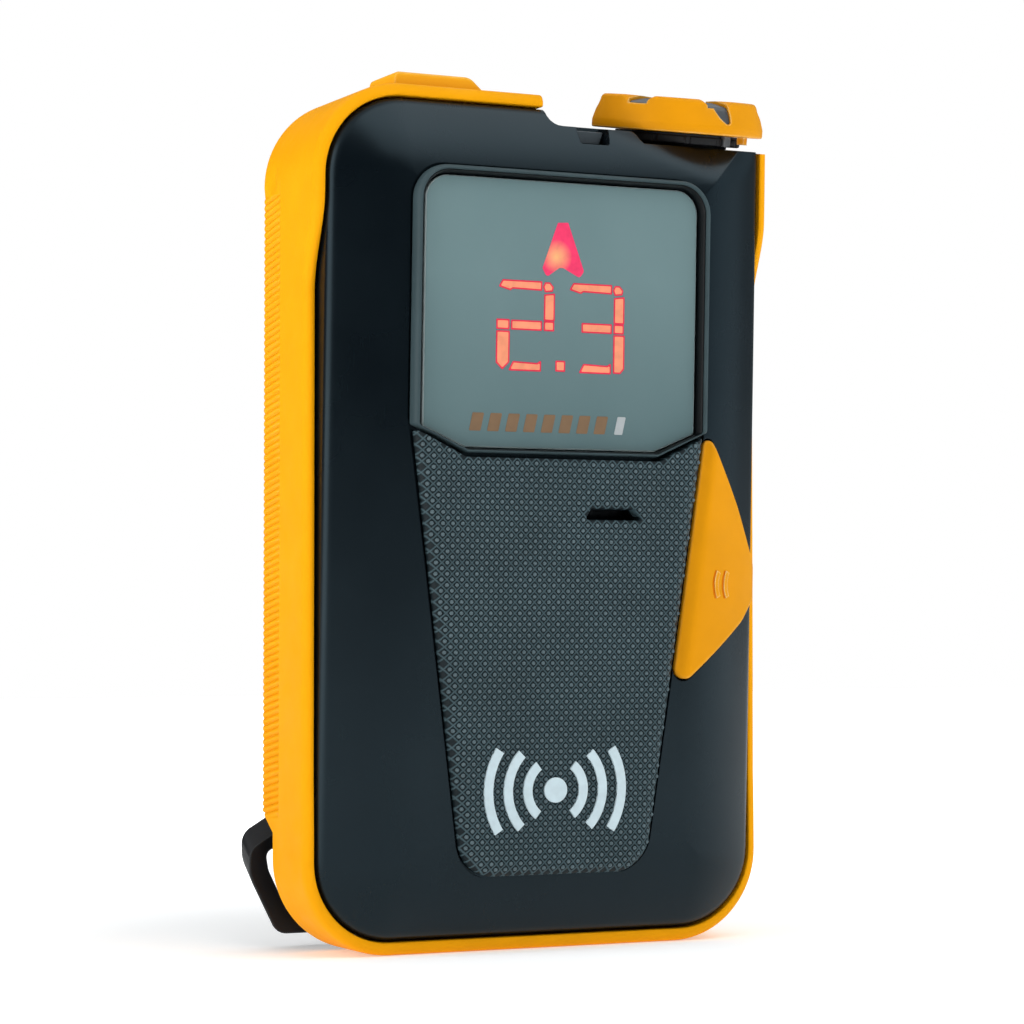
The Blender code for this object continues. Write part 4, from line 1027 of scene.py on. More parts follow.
def make_lug():
    """The leash lug: a bevelled loop past the lower left corner and a foot under a case screw."""
    front, back = lug_low.y, lug_high.y
    face = [
        (-32.8, 2.0, 2.5),
        (-21.6, 2.0, 0.6),
        (-21.6, 16.4, 0.6),
        (-33.0, 16.4, 1.6),
        (-36.9, 14.0, 2.2),
        (-37.1, 10.5, 6.0),
    ]
    foot = [
        (-31.6, 1.8, 3.6),
        (-21.6, 1.8, 0.6),
        (-21.6, 18.7, 0.6),
        (-32.8, 18.7, 1.6),
        (-37.2, 16.1, 2.6),
        (-37.1, 12.4, 5.0),
    ]
    rings = [(face, 0.35, front), (face, 0.1, front + 0.08), (face, 0.0, front + 0.25)]
    rings += [(foot, 0.0, back - 0.4), (foot, 0.12, back - 0.12), (foot, 0.4, back)]
    loops = [flat_loop(rounded(offset(outline, -inset)), y) for outline, inset, y in rings]
    lug = add("leash_lug", loft(loops))
    eye = [(-31.2, 5.2, 0.8), (-27.6, 5.2, 0.8), (-27.6, 14.0, 0.8), (-34.5, 14.0, 1.2), (-34.0, 11.0, 3.0)]
    steps = [(0.5, front - 0.3), (0.12, front + 0.12), (0.0, front + 0.35)]
    steps += [(0.0, back - 0.6), (0.3, back - 0.1), (0.6, back + 0.5)]
    carve(lug, loft([flat_loop(rounded(offset(eye, grow), 8), y) for grow, y in steps]))
    x, z = CASE_SCREWS[0]
    carve(lug, turned((x, 5.0, z), (x, 20.0, z), [(1.6, 0), (1.6, 6.0), (2.9, 6.0), (2.9, 15.0)], steps=48))
    return finish_piece(lug, looks["lug"], "housing", "inner_plastic", "lanyard_lug")


# ---------------------------------------------------------------- screen


def bezel_ring(profile):
    """A ring round the lens; profile lists (growth over its outline, height)."""
    return loft([face_loop(rounded(bezel_corners(grow)), height) for grow, height in profile], ring=True)


def make_bezel():
    top = ISLAND_HEIGHT
    profile = [
        (BEZEL_WIDTH, ISLAND_BACK),
        (BEZEL_WIDTH, top - 0.95),
        (BEZEL_WIDTH - 0.08, top - 0.5),
        (BEZEL_WIDTH - 0.24, top - 0.2),
        (BEZEL_WIDTH - 0.45, top - 0.04),
        (BEZEL_WIDTH - 0.65, top),
        (1.0, top - 0.03),
        (0.9, top - 0.14),
        (0.82, top - 0.35),
        (0.82, ISLAND_BACK),
    ]
    bezel = add("screen_frame", bezel_ring(profile))
    finish_piece(bezel, looks["frame_rubber"], "housing", "grip", "screen_bezel")
    lip_profile = [
        (0.8, ISLAND_BACK),
        (0.8, top - 0.34),
        (0.68, top - 0.32),
        (0.52, top - 0.55),
        (0.36, LENS_FRONT + 0.3),
        (0.28, LENS_FRONT),
        (0.26, ISLAND_BACK),
    ]
    lip = add("screen_frame_lip", bezel_ring(lip_profile))
    finish_piece(lip, looks["lip"], "housing", "seal")


def make_lens():
    lens = add("smoked_window", plate(bezel_corners(-0.02), LENS_BACK, LENS_FRONT, soft=0.28))
    return finish_piece(lens, looks["lens"], "housing", "lens", "display_lens")


PRINT_LIFT = 0.03
SEGMENTS = {
    "top": [(0.3, 11.5), (0.85, 12.4), (6.85, 12.4), (6.85, 11.2), (2.4, 11.3), (2.0, 11.05)],
    "corner": [(7.4, 12.3), (8.1, 12.3), (8.65, 11.7), (8.5, 11.15), (7.4, 11.0), (7.1, 11.7)],
    "upper_right": [(7.3, 7.05), (8.85, 7.05), (8.85, 10.8), (7.3, 10.6)],
    "middle_right": [(7.3, 5.65), (8.8, 5.65), (8.8, 6.9), (7.3, 6.9)],
    "middle": [(2.25, 5.65), (6.9, 5.65), (6.9, 6.9), (2.25, 6.9)],
    "middle_left": [(0.0, 5.65), (1.9, 5.65), (1.9, 6.95), (0.0, 6.95)],
    "lower_left": [(0.0, 5.35), (0.0, 1.0), (0.95, 0.1), (1.95, 1.1), (1.95, 5.35)],
    "lower_right": [(7.3, 5.4), (7.3, 0.1), (8.4, 0.1), (8.95, 0.75), (8.95, 5.4)],
    "bottom": [(1.95, 0.0), (2.6, 1.2), (6.3, 1.05), (6.85, 1.4), (6.85, 0.0)],
}
DIGIT_LEFT = (-10.2, 80.6)
DIGIT_RIGHT = (0.75, 80.6)
TWO = ("top", "corner", "upper_right", "middle_right", "middle", "middle_left", "lower_left", "bottom")
THREE = ("top", "corner", "upper_right", "middle_right", "middle", "lower_right", "bottom")
POINT = [(-1.0, 80.7), (0.4, 80.7), (0.4, 82.1), (-1.0, 82.1)]
ARROW = [
    (-1.0, 101.3, 0.2),
    (-3.3, 94.9, 0.5),
    (-2.6, 93.7, 0.4),
    (-0.66, 95.05, 0.4),
    (-0.04, 95.05, 0.4),
    (2.5, 93.8, 0.4),
    (3.2, 94.7, 0.5),
    (0.6, 101.4, 0.2),
]


def counter_clockwise(points):
    area = sum(a[0] * b[1] - b[0] * a[1] for a, b in zip(points, points[1:] + points[:1]))
    return points if area > 0 else points[::-1]


def make_segments(name, outlines):
    """Lit segments as two thin layers: a red rim and a pale core."""
    layers = (("rim", "led_edge", -0.06, 0.0, 1.0), ("core", "led_core", 0.15, 1.0, 1.6))
    for part, look, inset, low, high in layers:
        solids = []
        for outline in outlines:
            corners = [(x, z, 0.08) for x, z in counter_clockwise(outline)]
            points = rounded(offset(corners, -inset), 4)
            solids.append(flat_plate(points, LENS_FRONT + PRINT_LIFT * low, LENS_FRONT + PRINT_LIFT * high))
        finish_piece(add(f"{name}_{part}", *solids), looks[look], "housing", "display")


def make_display():
    for name, start, parts in (("digit_left", DIGIT_LEFT, TWO), ("digit_right", DIGIT_RIGHT, THREE)):
        outlines = [[(start[0] + u, start[1] + v) for u, v in SEGMENTS[part]] for part in parts]
        if name == "digit_right":
            outlines.append(POINT)
        make_segments(name, outlines)
    arrow = add("direction_arrow", on_lens(ARROW, 5))
    finish_piece(arrow, looks["led_arrow"], "housing", "display")
    bars = [slanted_bar(-14.2 + 2.75 * index, 1.75) for index in range(8)]
    finish_piece(add("scale_bars", *bars), looks["scale_print"], "housing", "lens")
    finish_piece(add("scale_end_bar", slanted_bar(8.3, 1.3)), looks["scale_pale"], "housing", "lens")


def on_lens(corners, steps):
    return flat_plate(rounded(corners, steps), LENS_FRONT, LENS_FRONT + PRINT_LIFT)


def slanted_bar(x, width):
    low, high, lean = 72.1, 74.6, 0.55
    corners = [(x, low), (x + width, low), (x + width + lean, high), (x + lean, high)]
    return on_lens([(along, up, 0.15) for along, up in corners], 4)


# ---------------------------------------------------------------- grip pad


PAD_EDGE = [(0.0, ISLAND_BACK), (0.0, 4.4), (0.12, 4.8), (0.45, 5.25), (0.95, 5.6), (1.5, 5.82),
            (2.1, ISLAND_HEIGHT)]


def pad_height(inset):
    """Height of the pad's surface this far in from its outline."""
    for (start, low), (end, high) in zip(PAD_EDGE[1:], PAD_EDGE[2:]):
        if inset < end:
            return low + (high - low) * (inset - start) / (end - start)
    return ISLAND_HEIGHT


def pad_inset(x, z, outline):
    """Distance in from the pad's flanks and foot; its top edge meets the bezel and stays level."""
    low = [point for point in outline if point[1] < 67.0]
    return path_distance(x, z, [PAD_RIGHT, *reversed(low), PAD_LEFT])


def dot_solid(x, z, height):
    """A small domed dot standing on the pad."""
    rings = [(0.30, -0.12), (0.28, 0.08), (0.20, 0.20), (0.08, 0.26)]
    loops = [face_loop(circle((x, z), radius, 10), height + lift) for radius, lift in rings]
    return loft(loops)


def make_grip_pad():
    loops = [face_loop(rounded(pad_corners(inset)), height) for inset, height in PAD_EDGE]
    pad = add("grip_pad_skin", loft(loops))
    slot = [(x, z, 0.25) for x, z in slot_outline()]
    mouth = ((0.0, 0.0), (0.0, 5.6), (0.12, 5.85), (0.4, 6.3))
    carve(pad, loft([face_loop(rounded(offset(slot, grow), 4), height) for grow, height in mouth]))
    finish_piece(pad, looks["grip"], "housing", "grip", "grip_pad")
    outline = rounded(pad_corners())
    keep_clear = rounded(offset(slot, 0.55), 4)
    dots = []
    rows = int((72.0 - PAD_LOW) / DOT_ROW) + 1
    for row in range(rows):
        z = DOT_START + DOT_ROW * row
        shift = 0.5 * (row % 2)
        for column in range(-16, 17):
            x = DOT_PITCH * (column + shift)
            if not inside((x, z), outline) or inside((x, z), keep_clear):
                continue
            if path_distance(x, z, outline + outline[:1]) >= DOT_MARGIN:
                dots.append(dot_solid(x, z, pad_height(pad_inset(x, z, outline))))
    # The dots take the lighter copy of the rubber, which paints light on them.
    finish_piece(add("grip_dots", *dots), looks["grip_dots"], "housing", "grip")


def arc_band(centre, radius, width, start, end, steps=28):
    """The outline of a stroke with square ends that follows an arc, angles in degrees."""
    angles = [math.radians(start + (end - start) * i / steps) for i in range(steps + 1)]
    rows = []
    for reach in (radius + width / 2, radius - width / 2):
        rows.append([(centre[0] + reach * math.cos(a), centre[1] + reach * math.sin(a)) for a in angles])
    return rows[0] + rows[1][::-1]


def make_emblem():
    """A plain broadcast sign on the pad: a dot between three pairs of arcs."""
    centre = (-0.8, 22.6)
    low = ISLAND_HEIGHT - 0.1
    high = ISLAND_HEIGHT + 0.32
    marks = [circle(centre, 1.75, 48)]
    for radius, reach in ((4.3, 52), (7.3, 44), (10.3, 33)):
        marks.append(arc_band(centre, radius, 1.35, -reach, reach))
        marks.append(arc_band(centre, radius, 1.35, 180 - reach, 180 + reach))
    emblem = add("broadcast_sign", *[flat_plate(points, low, high) for points in marks])
    return finish_piece(emblem, looks["print"], "housing", "grip")


# ---------------------------------------------------------------- option button


def surface_patch(corners, height, depth, rows=90, columns=26, soft=0.0):
    """A slab under a height field inside a convex outline; its underside is sunk by depth into the dome."""
    outline = rounded(corners, 10)
    low = min(z for _, z in outline)
    high = max(z for _, z in outline)
    tops = []
    for row in range(rows + 1):
        share = 0.5 - 0.5 * math.cos(math.pi * row / rows)
        z = low + (high - low) * min(max(share, 0.0008), 0.9992)
        cross = []
        for (ax, az), (bx, bz) in zip(outline, outline[1:] + outline[:1]):
            if (az > z) != (bz > z):
                cross.append(ax + (z - az) * (bx - ax) / (bz - az))
        left, right = min(cross), max(cross)
        line = []
        for column in range(columns + 1):
            part = 0.5 - 0.5 * math.cos(math.pi * column / columns)
            x = left + (right - left) * part
            short = max(soft - path_distance(x, z, outline + outline[:1]), 0.0)
            drop = soft - math.sqrt(max(soft * soft - short * short, 0.0))
            line.append((x, z, height(x, z) - drop))
        tops.append(line)
    points = [(x, face_y(z) - h, z) for line in tops for x, z, h in line]
    width = columns + 1
    faces = []
    for row in range(rows):
        for column in range(columns):
            first = row * width + column
            faces.append((first, first + 1, first + width + 1, first + width))
    border = [row * width for row in range(rows, 0, -1)] + list(range(width - 1))
    border += [row * width + columns for row in range(rows)]
    border += [rows * width + column for column in range(columns, 0, -1)]
    start = len(points)
    for index in border:
        x, _, z = points[index]
        points.append((x, face_y(z) - face_height(x, z) - depth, z))
    count = len(border)
    for i in range(count):
        j = (i + 1) % count
        faces.append((border[i], border[j], start + j, start + i))
    faces.append(tuple(range(start, start + count)))
    return points, faces


FOLD_FOOT = Vector((18.25, 35.9))
FOLD_TOP = Vector((23.28, 73.4))
FOLD_WIDTH = 2.5
FOLD_DROP = 0.85


def button_height(x, z):
    """The button follows the dome and folds down along its straight inner side."""
    along = (FOLD_TOP - FOLD_FOOT).normalized()
    away = (x - FOLD_FOOT.x) * along.y - (z - FOLD_FOOT.y) * along.x
    return face_height(x, z) + BUTTON_PROUD - FOLD_DROP * (1 - smooth(away / FOLD_WIDTH)) ** 1.3


def make_option_button():
    button = add("option_button_cap", surface_patch(button_corners(), button_height, -0.7, soft=0.3))
    x, z = BUTTON_STEM
    carve(button, rod((x, face_y(z) - 3.8, z), (x, -7.5, z), 1.6, steps=32), operation="UNION")
    finish_piece(button, looks["control"], "option_button", "control", "option_button")
    shade_lines = []
    bars = []
    for left in (24.6, 26.35):
        centre = (left + 4.6, 51.2)
        # A thin deep orange strip along the outer edge of each bar paints the shadow the raised bar would cast.
        shade_lines.append(on_button(arc_band(centre, 4.6, 0.32, 154.5, 205.5, 18), (-0.25, 0.02)))
        bars.append(on_button(arc_band(centre, 4.06, 0.74, 153.5, 206.5, 18), (-0.25, 0.07, 0.11)))
    finish_piece(add("option_button_mark", *bars), looks["control"], "option_button", "control")
    finish_piece(add("option_button_mark_painted_shade", *shade_lines), looks["mark_painted_shade"], "option_button", "control")


def on_button(outline, lifts):
    """A solid between these heights over the button's curved face."""
    loops = []
    for lift in lifts:
        loops.append([(x, face_y(z) - button_height(x, z) - lift, z) for x, z in outline])
    return loft(loops)


# ---------------------------------------------------------------- mode dial


def cap_profile():
    """(radius, height) up the outside of the cap: an upright band, a cone and a rounded top edge."""
    band = [(DIAL_RADIUS - 0.25, 0.0), (DIAL_RADIUS - 0.06, 0.08), (DIAL_RADIUS, 0.25), (DIAL_RADIUS, 1.15),
            (DIAL_RADIUS - 0.06, 1.4)]
    cone = [(DIAL_RADIUS - 0.06 - 0.85 * i / 6, 1.4 + 2.85 * i / 6) for i in range(1, 7)]
    rim = []
    for i in range(1, 6):
        angle = math.pi / 2 * i / 5
        rim.append((DIAL_RADIUS - 0.91 - 0.65 * (1 - math.cos(angle)), 4.25 + 0.65 * math.sin(angle)))
    return band + cone + rim


def arm_angle(arm):
    return math.radians(-90 + 360 / DIAL_ARMS * arm)


def rim_dip(turn):
    """How far the top edge of the cap sinks at each arm, between low lobes."""
    nearest = min(abs((turn - arm_angle(arm) + math.pi) % math.tau - math.pi) for arm in range(DIAL_ARMS))
    return 0.75 * (1 - smooth((nearest - math.radians(5.0)) / math.radians(9.0)))


def dial_block(heading, inner, outer, low, high):
    """A small block on the dial, from an inner to an outer (radius, half angle), at a heading in degrees."""
    middle = math.radians(heading)
    outline = []
    for (radius, half), side in ((inner, -1), (outer, -1), (outer, 1), (inner, 1)):
        turn = middle + side * half
        outline.append((radius * math.cos(turn), radius * math.sin(turn)))
    return loft([[(x, y, z) for x, y in outline] for z in (low, high)])


def make_dial_cap():
    steps = 288
    turns = [math.tau * i / steps for i in range(steps)]
    top = [(r, DIAL_HEIGHT) for r in (10.0, 8.8, 7.4, 5.8, 4.2, 2.6, 1.2)]
    loops = [[(2.8 * math.cos(t), 2.8 * math.sin(t), 3.4) for t in turns],
             [(2.8 * math.cos(t), 2.8 * math.sin(t), 0.0) for t in turns]]
    for radius, height in cap_profile() + top:
        loop = []
        for turn in turns:
            sink = rim_dip(turn) * smooth((height - 2.4) / 2.5) * smooth((radius - 6.0) / 4.5)
            crown = 0.18 * smooth((9.5 - radius) / 9.0) if height >= DIAL_HEIGHT else 0.0
            loop.append((radius * math.cos(turn), radius * math.sin(turn), height - sink - crown))
        loops.append(loop)
    cap = add("dial_cap_body", loft(loops), matrix=DIAL_PLACE)
    carve(cap, star(0.12, DIAL_HEIGHT - 1.15, DIAL_HEIGHT + 3), matrix=DIAL_PLACE)
    carve(cap, pointer_wedge(0.12, 7.0), matrix=DIAL_PLACE)
    tab = dial_block(-53, (9.9, 0.06), (11.0, 0.055), -1.1, 0.3)
    carve(cap, tab, operation="UNION", matrix=DIAL_PLACE)
    return finish_piece(cap, looks["control"], "mode_dial", "control", "mode_dial_cap")


def star(grow, low, high):
    """Six tapered arms that reach the rim."""
    outline = []
    for arm in range(DIAL_ARMS):
        heading = arm_angle(arm)
        half = 1.35
        valley = heading + math.pi / DIAL_ARMS
        for side in (-1, 1):
            ends = ((8.4, half + 0.25), (13.4, half))
            for reach, wide in ends[::-side]:
                x = reach * math.cos(heading) - side * (wide + grow) * math.sin(heading)
                y = reach * math.sin(heading) + side * (wide + grow) * math.cos(heading)
                outline.append((x, y))
        outline.append(((4.4 + grow) * math.cos(valley), (4.4 + grow) * math.sin(valley)))
    return loft([[(x, y, z) for x, y in outline] for z in (low, high)])


def pointer_wedge(grow, depth):
    """The curved wedge down the front of the cap, as a prism that runs out along -Y."""
    outline = [(-1.55, 5.8), (-1.55, 4.75), (-1.1, 4.5), (-0.65, 4.0), (-0.25, 3.3), (0.2, 2.6), (0.75, 2.1),
               (1.3, 1.75), (1.75, 1.7), (1.98, 2.0), (1.95, 2.8), (1.7, 3.7), (1.6, 4.6), (1.6, 5.8)]
    centre = Vector((0.3, 3.9))
    loops = []
    for y in (-14.0, -DIAL_RADIUS + depth - 3.2):
        loop = []
        for x, t in outline:
            away = (Vector((x, t)) - centre).normalized() * grow
            loop.append((x + away.x, y, t + away.y))
        loops.append(loop)
    return loft(loops)


def make_dial_inlay():
    """The grey inlay: a star sunk under the cap's top, with a pointer that folds down its side."""
    inlay = add("dial_star", star(0.0, DIAL_HEIGHT - 1.1, DIAL_HEIGHT + 2.0), matrix=DIAL_PLACE)
    carve(inlay, pointer_wedge(0.0, 6.6), operation="UNION", matrix=DIAL_PLACE)
    side = DIAL_RADIUS - 0.32
    envelope = [(0.0001, 0.5), (side, 0.5), (side, 1.3)]
    envelope += [(side - 0.85 * i / 6, 1.3 + 2.45 * i / 6) for i in range(1, 7)]
    envelope += [(11.0, 4.0), (10.2, 4.15), (8.6, 4.4), (6.6, 4.58), (3.0, 4.66), (0.0001, 4.68)]
    keep = turned(ORIGIN, UP, envelope, steps=144)
    carve(inlay, keep, operation="INTERSECT", matrix=DIAL_PLACE)
    soften(inlay, 0.08, 2, 35)
    return finish_piece(inlay, looks["inlay"], "mode_dial", "inlay", "mode_dial_inlay")


def make_dial_skirt():
    """The dark ring under the cap, with its drain slits and one raised stop."""
    profile = [(2.8, -1.6), (9.0, -1.6), (9.25, -1.48), (9.3, -1.25), (9.3, -0.5), (9.0, -0.4), (9.0, -0.08),
               (2.8, -0.08)]
    skirt = add("dial_skirt_ring", turned(ORIGIN, UP, profile, ring=True, steps=144), matrix=DIAL_PLACE)
    slits = []
    for index in range(12):
        turn = math.radians(30 * index + 12)
        x, y = 9.5 * math.cos(turn), 9.5 * math.sin(turn)
        slits.append(rod((x, y, -2.5), (x, y, -0.3), 0.45, steps=20))
    carve(skirt, *slits, matrix=DIAL_PLACE)
    soften(skirt, 0.06, 1, 40)
    finish_piece(skirt, looks["inner_plastic"], "mode_dial", "inner_plastic", "mode_dial_skirt")
    block_at_stop = dial_block(-69, (9.1, 0.075), (9.75, 0.07), -1.55, -0.1)
    stop = add("dial_stop_block", block_at_stop, matrix=DIAL_PLACE)
    soften(stop, 0.08, 2, 40)
    finish_piece(stop, looks["inlay"], "mode_dial", "inlay")
    wiper = [(2.8, -2.0), (7.2, -2.0), (7.4, -1.9), (7.4, -1.62), (2.8, -1.62)]
    ring = add("dial_wiper_ring", turned(ORIGIN, UP, wiper, ring=True, steps=96), matrix=DIAL_PLACE)
    finish_piece(ring, looks["seal"], "mode_dial", "seal")


# ---------------------------------------------------------------- top edge


def make_lock_button():
    """The lock pad: a low orange slab with a long rounded right end."""
    top = LOCK_TOP
    base = 118.9
    outline = [
        (-22.4, base, 0),
        (-8.5, base, 0),
        (-8.5, top - 1.9, 0.9),
        (-10.6, top - 0.02, 2.2),
        (-22.4, top, 0.95),
    ]
    front, back = lock_low.y, lock_high.y
    loops = []
    ends = [(0.55, front), (0.2, front + 0.12), (0.0, front + 0.45)]
    ends += [(0.0, back - 0.45), (0.2, back - 0.12), (0.55, back)]
    for inset, y in ends:
        corners = offset(outline, -inset)
        corners[:2] = [(corners[0][0], base, 0), (corners[1][0], base, 0)]
        loops.append(flat_loop(rounded(corners, 10), y))
    button = add("lock_pad", loft(loops))
    x, y = LOCK_STEM.x, LOCK_STEM.y
    carve(button, rod((x, y, 115.0), (x, y, 121.65), 3.0, steps=48))
    carve(button, rod((x, y, 110.3), (x, y, 121.9), 1.4, steps=32), operation="UNION")
    ridges = [prism(rounded(box_outline(x0, x0 + 0.7, top - 0.16, top + 1, 0.1), 3), front + 1.6, back - 1.6)
              for x0 in (-18.6, -17.0, -15.4, -13.8)]
    carve(button, *ridges)
    return finish_piece(button, looks["lock"], "lock_button", "control", "lock_button")


def make_status_lamp():
    """The grey lamp window at the foot of its recess in the top edge."""
    outline = [(3.85, 113.35), (7.55, 113.35), (8.15, 115.1), (3.25, 115.1)]
    back = [(3.9, 113.4), (7.5, 113.4), (8.0, 115.0), (3.4, 115.0)]
    loops = [[(x, -9.35, z) for x, z in back], [(x, -10.35, z) for x, z in outline],
             [(x * 0.985 + 0.085, -10.5, z * 0.999 + 0.11) for x, z in outline]]
    lamp = add("status_window", loft(loops))
    soften(lamp, 0.1, 2, 30)
    return finish_piece(lamp, looks["lamp"], "housing", "lamp", "status_lamp_window")


# ---------------------------------------------------------------- back


def screw_head(name, x, z, head_y, tip_y, body, node, head=2.5, shank=1.25, depth=1.6):
    """A pan-head screw along Y with a six-lobed drive."""
    length = head_y - tip_y
    profile = [(0.0001, 0.0), (head - 0.5, 0.0), (head - 0.15, 0.12), (head, 0.4), (head, depth),
               (shank, depth), (shank, length - 0.8), (0.5, length)]
    made = add(name, turned((x, head_y, z), (x, tip_y, z), profile, steps=48))
    star_points = []
    for i in range(72):
        turn = math.tau * i / 72
        radius = 0.98 + 0.2 * math.cos(6 * turn)
        star_points.append((x + radius * math.cos(turn), z + radius * math.sin(turn)))
    carve(made, prism(star_points, head_y - 0.9, head_y + 2))
    return finish_piece(made, looks["steel"], body, "steel", node)


def make_door():
    """The battery door: a flush panel with a grip rib field, hinge arms and a sunk screw hole."""
    outline = box_outline(-DOOR_HALF_WIDTH, DOOR_HALF_WIDTH, DOOR_LOW, DOOR_HIGH, 1.2)
    loops = [flat_loop(rounded(outline), DOOR_FRONT_Y)]
    for step in range(5):
        angle = math.pi / 2 * step / 4
        corners = offset(outline, -0.35 * (1 - math.cos(angle)))
        loops.append(flat_loop(rounded(corners), BACK_Y - 0.35 + 0.35 * math.sin(angle)))
    door = add("battery_door_panel", loft(loops))
    spans = [(side * ARM_X - 2.0, side * ARM_X + 2.0) for side in (-1, 1)]
    arms = [block((left, DOOR_FRONT_Y - 0.5, 60.8), (right, 13.2, HINGE.z)) for left, right in spans]
    knuckles = [rod((left, HINGE.y, HINGE.z), (right, HINGE.y, HINGE.z), 1.35) for left, right in spans]
    carve(door, *arms, operation="UNION")
    carve(door, *knuckles, operation="UNION")
    carve(door, rod((-13.0, HINGE.y, HINGE.z), (13.0, HINGE.y, HINGE.z), 0.75, steps=32))
    sink = [(1.7, 0), (1.7, 4.75), (2.7, 4.75), (2.7, 5.15), (3.0, 5.35), (3.0, 12.0)]
    carve(door, turned((0, 8.2, DOOR_SCREW_Z), (0, 20.0, DOOR_SCREW_Z), sink))
    ribs = []
    for index in range(7):
        half = 11.0 - 0.9 * index
        z = 17.0 + 1.9 * index
        ribs.append(prism(rounded(box_outline(-half, half, z - 0.5, z + 0.5, 0.45), 5), BACK_Y - 0.35, 20.0))
    carve(door, *ribs)
    border = rounded(box_outline(-16.6, 16.6, 33.4, 57.4, 2.0))
    inner = rounded(box_outline(-16.1, 16.1, 33.9, 56.9, 1.5))
    floor = BACK_Y - 0.25
    corners = [(inner, floor), (border, floor), (border, 20.0), (inner, 20.0)]
    carve(door, loft([flat_loop(outline, y) for outline, y in corners], ring=True))
    return finish_piece(door, looks["housing"], "battery_door", "housing", "battery_door")


def make_screws():
    for number, (x, z) in enumerate(CASE_SCREWS, 1):
        head_y = 12.9 if number == 1 else 13.2
        screw_head(f"case_screw_turned_{number}", x, z, head_y, -2.0, "housing", f"case_screw_{number}")
    profile = [(0.0001, 0), (2.1, 0), (2.32, 0.06), (2.4, 0.2), (2.4, 0.4), (1.2, 0.4), (1.2, 3.7),
               (0.9, 4.0)]
    screw = add("door_coin_screw", turned((0, 13.4, DOOR_SCREW_Z), (0, 5.0, DOOR_SCREW_Z), profile))
    carve(screw, block((-1.9, 13.15, DOOR_SCREW_Z - 0.35), (1.9, 15.0, DOOR_SCREW_Z + 0.35)))
    finish_piece(screw, looks["steel"], "door_screw", "steel", "door_screw")


# ---------------------------------------------------------------- stage


def dress_frame():
    """Gives every CAD node that stays in view its slot's material."""
    slots = {row["node"]: row["material_slot"] for row in frame["record"]["subparts"]}
    for name, node in frame["nodes"].items():
        node.data.materials.clear()
        node.data.materials.append(looks["dark_mesh" if name == "speaker_mesh" else slots[name]])
        node.data.shade_smooth()
        node.data.set_sharp_from_angle(angle=SHARP_ANGLE)


def soft_box(name, place, target, size, power, colour=(1.0, 1.0, 1.0)):
    light = bpy.data.lights.new(name, "AREA")
    light.shape = "RECTANGLE"
    light.size = size[0]
    light.size_y = size[1]
    light.energy = power
    light.color = colour
    made = bpy.data.objects.new(name, light)
    bpy.context.scene.collection.objects.link(made)
    made.location = place
    aim = Vector(target) - Vector(place)
    made.rotation_euler = aim.to_track_quat("-Z", "Y").to_euler()
    return made


def make_world():
    """White behind the object for the camera; dim for all other rays, and darkest at the left of the face."""
    world = bpy.data.worlds.new("studio")
    world.use_nodes = True
    bpy.context.scene.world = world
    tree = world.node_tree
    dim = tree.nodes["Background"]
    dim.inputs["Color"].default_value = (0.78, 0.93, 1.0, 1.0)
    place = tree.nodes.new("ShaderNodeTexCoord")
    parts = tree.nodes.new("ShaderNodeSeparateXYZ")
    ramp = tree.nodes.new("ShaderNodeMapRange")
    ramp.inputs["From Min"].default_value = -0.25
    ramp.inputs["From Max"].default_value = 0.6
    ramp.inputs["To Min"].default_value = 0.02
    ramp.inputs["To Max"].default_value = 0.26
    tree.links.new(place.outputs["Generated"], parts.inputs[0])
    tree.links.new(parts.outputs[0], ramp.inputs["Value"])
    tree.links.new(ramp.outputs["Result"], dim.inputs["Strength"])
    bright = tree.nodes.new("ShaderNodeBackground")
    bright.inputs["Color"].default_value = (1.0, 1.0, 1.0, 1.0)
    path = tree.nodes.new("ShaderNodeLightPath")
    mix = tree.nodes.new("ShaderNodeMixShader")
    tree.links.new(path.outputs["Is Camera Ray"], mix.inputs[0])
    tree.links.new(dim.outputs[0], mix.inputs[1])
    tree.links.new(bright.outputs[0], mix.inputs[2])
    tree.links.new(mix.outputs[0], tree.nodes["World Output"].inputs["Surface"])


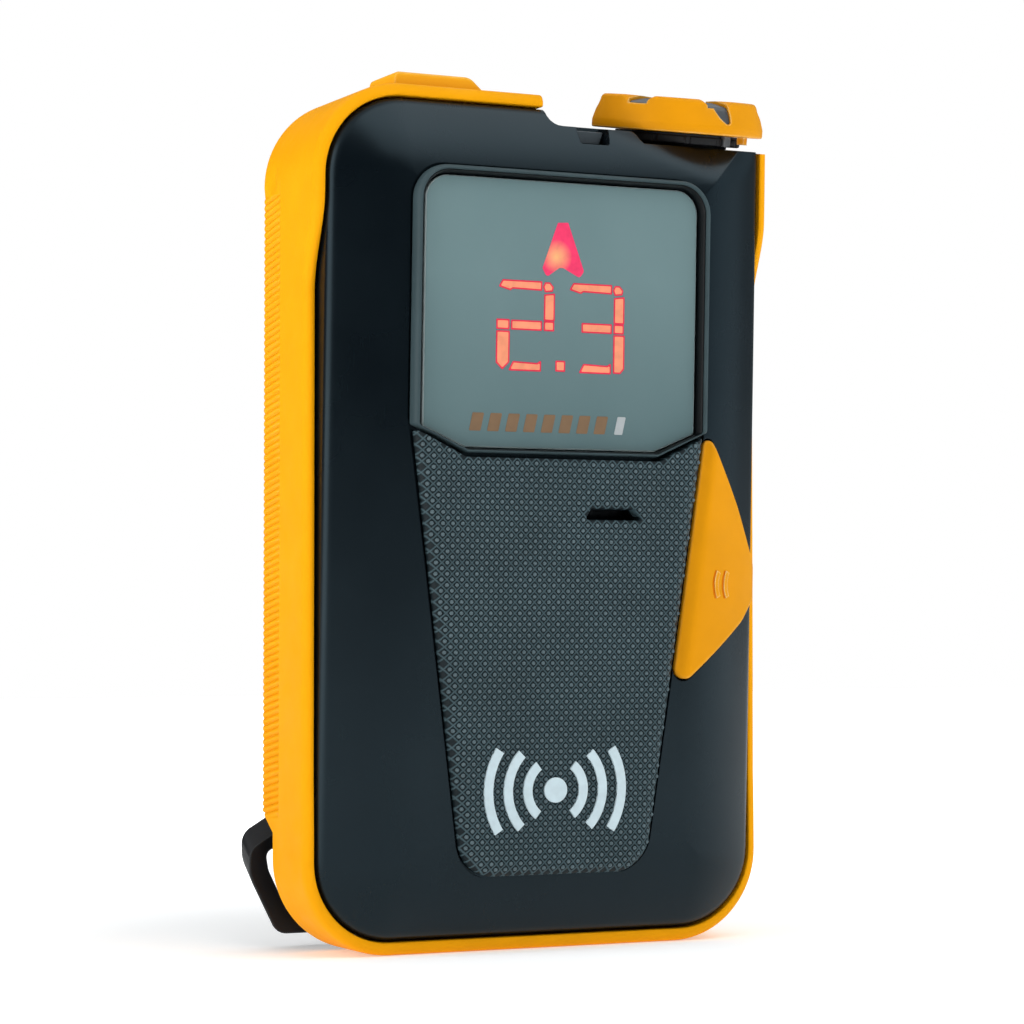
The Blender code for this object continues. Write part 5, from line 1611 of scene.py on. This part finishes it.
def make_stage():
    """A pale floor that brightens away from the object, and four soft boxes."""
    corners = [(-1300, -460), (1300, -460), (1300, 1300), (-1300, 1300)]
    floor = add("floor", loft([[(x, y, z) for x, y in corners] for z in (-3.0, -0.01)]))
    n = Nodes("pale_floor")
    n.colour(n.mix(n.noise(12.0, 2.0), (0.88, 0.88, 0.88), (0.91, 0.91, 0.91)))
    n.rough(n.ranged(n.noise(40.0), 0.8, 0.95))
    away = n.add("ShaderNodeVectorMath", operation="LENGTH")
    n.link(n.place, away.inputs[0])
    n.link(n.ranged(away.outputs["Value"], 0.32, 1.0, 0.06, 0.26), n.shader.inputs["Emission Strength"])
    n.set(Specular_IOR_Level=0.05, Emission_Color=(1.0, 1.0, 1.0, 1.0))
    floor.data.materials.append(n.material)
    make_world()
    middle = (0.0, 0.0, 0.06)
    soft_box("ceiling", (0.0, 0.3, 1.4), (0.0, 0.3, 0.0), (3.2, 3.2), 22.0)
    soft_box("left_box", (-0.56, -0.08, 0.16), middle, (0.40, 0.60), 2.1)
    soft_box("right_box", (0.50, -0.26, 0.12), middle, (0.30, 0.60), 0.40, (0.72, 0.90, 1.0))
    soft_box("front_key", (0.16, -0.50, 0.76), middle, (0.90, 0.70), 3.6)
    bpy.context.scene.view_settings.view_transform = "Standard"


CAMERA_PLACE = (-0.1915, -0.3901, 0.0463)
CAMERA_YAW = math.radians(26.02)
CAMERA_PITCH = math.radians(2.01)
CAMERA_LENS = 106.95


def make_camera():
    camera = bpy.data.cameras.new("camera")
    camera.sensor_width = 36.0
    camera.lens = CAMERA_LENS
    camera.clip_start = 0.01
    made = bpy.data.objects.new("camera", camera)
    bpy.context.scene.collection.objects.link(made)
    made.location = CAMERA_PLACE
    made.rotation_euler = (math.pi / 2 + CAMERA_PITCH, 0.0, -CAMERA_YAW)
    bpy.context.scene.camera = made


dress_frame()
make_front_shell()
make_rear_shell()
make_bumper()
make_lug()
make_bezel()
make_lens()
make_display()
make_grip_pad()
make_emblem()
make_option_button()
make_dial_cap()
make_dial_inlay()
make_dial_skirt()
make_lock_button()
make_status_lamp()
make_door()
make_screws()
make_stage()
make_camera()
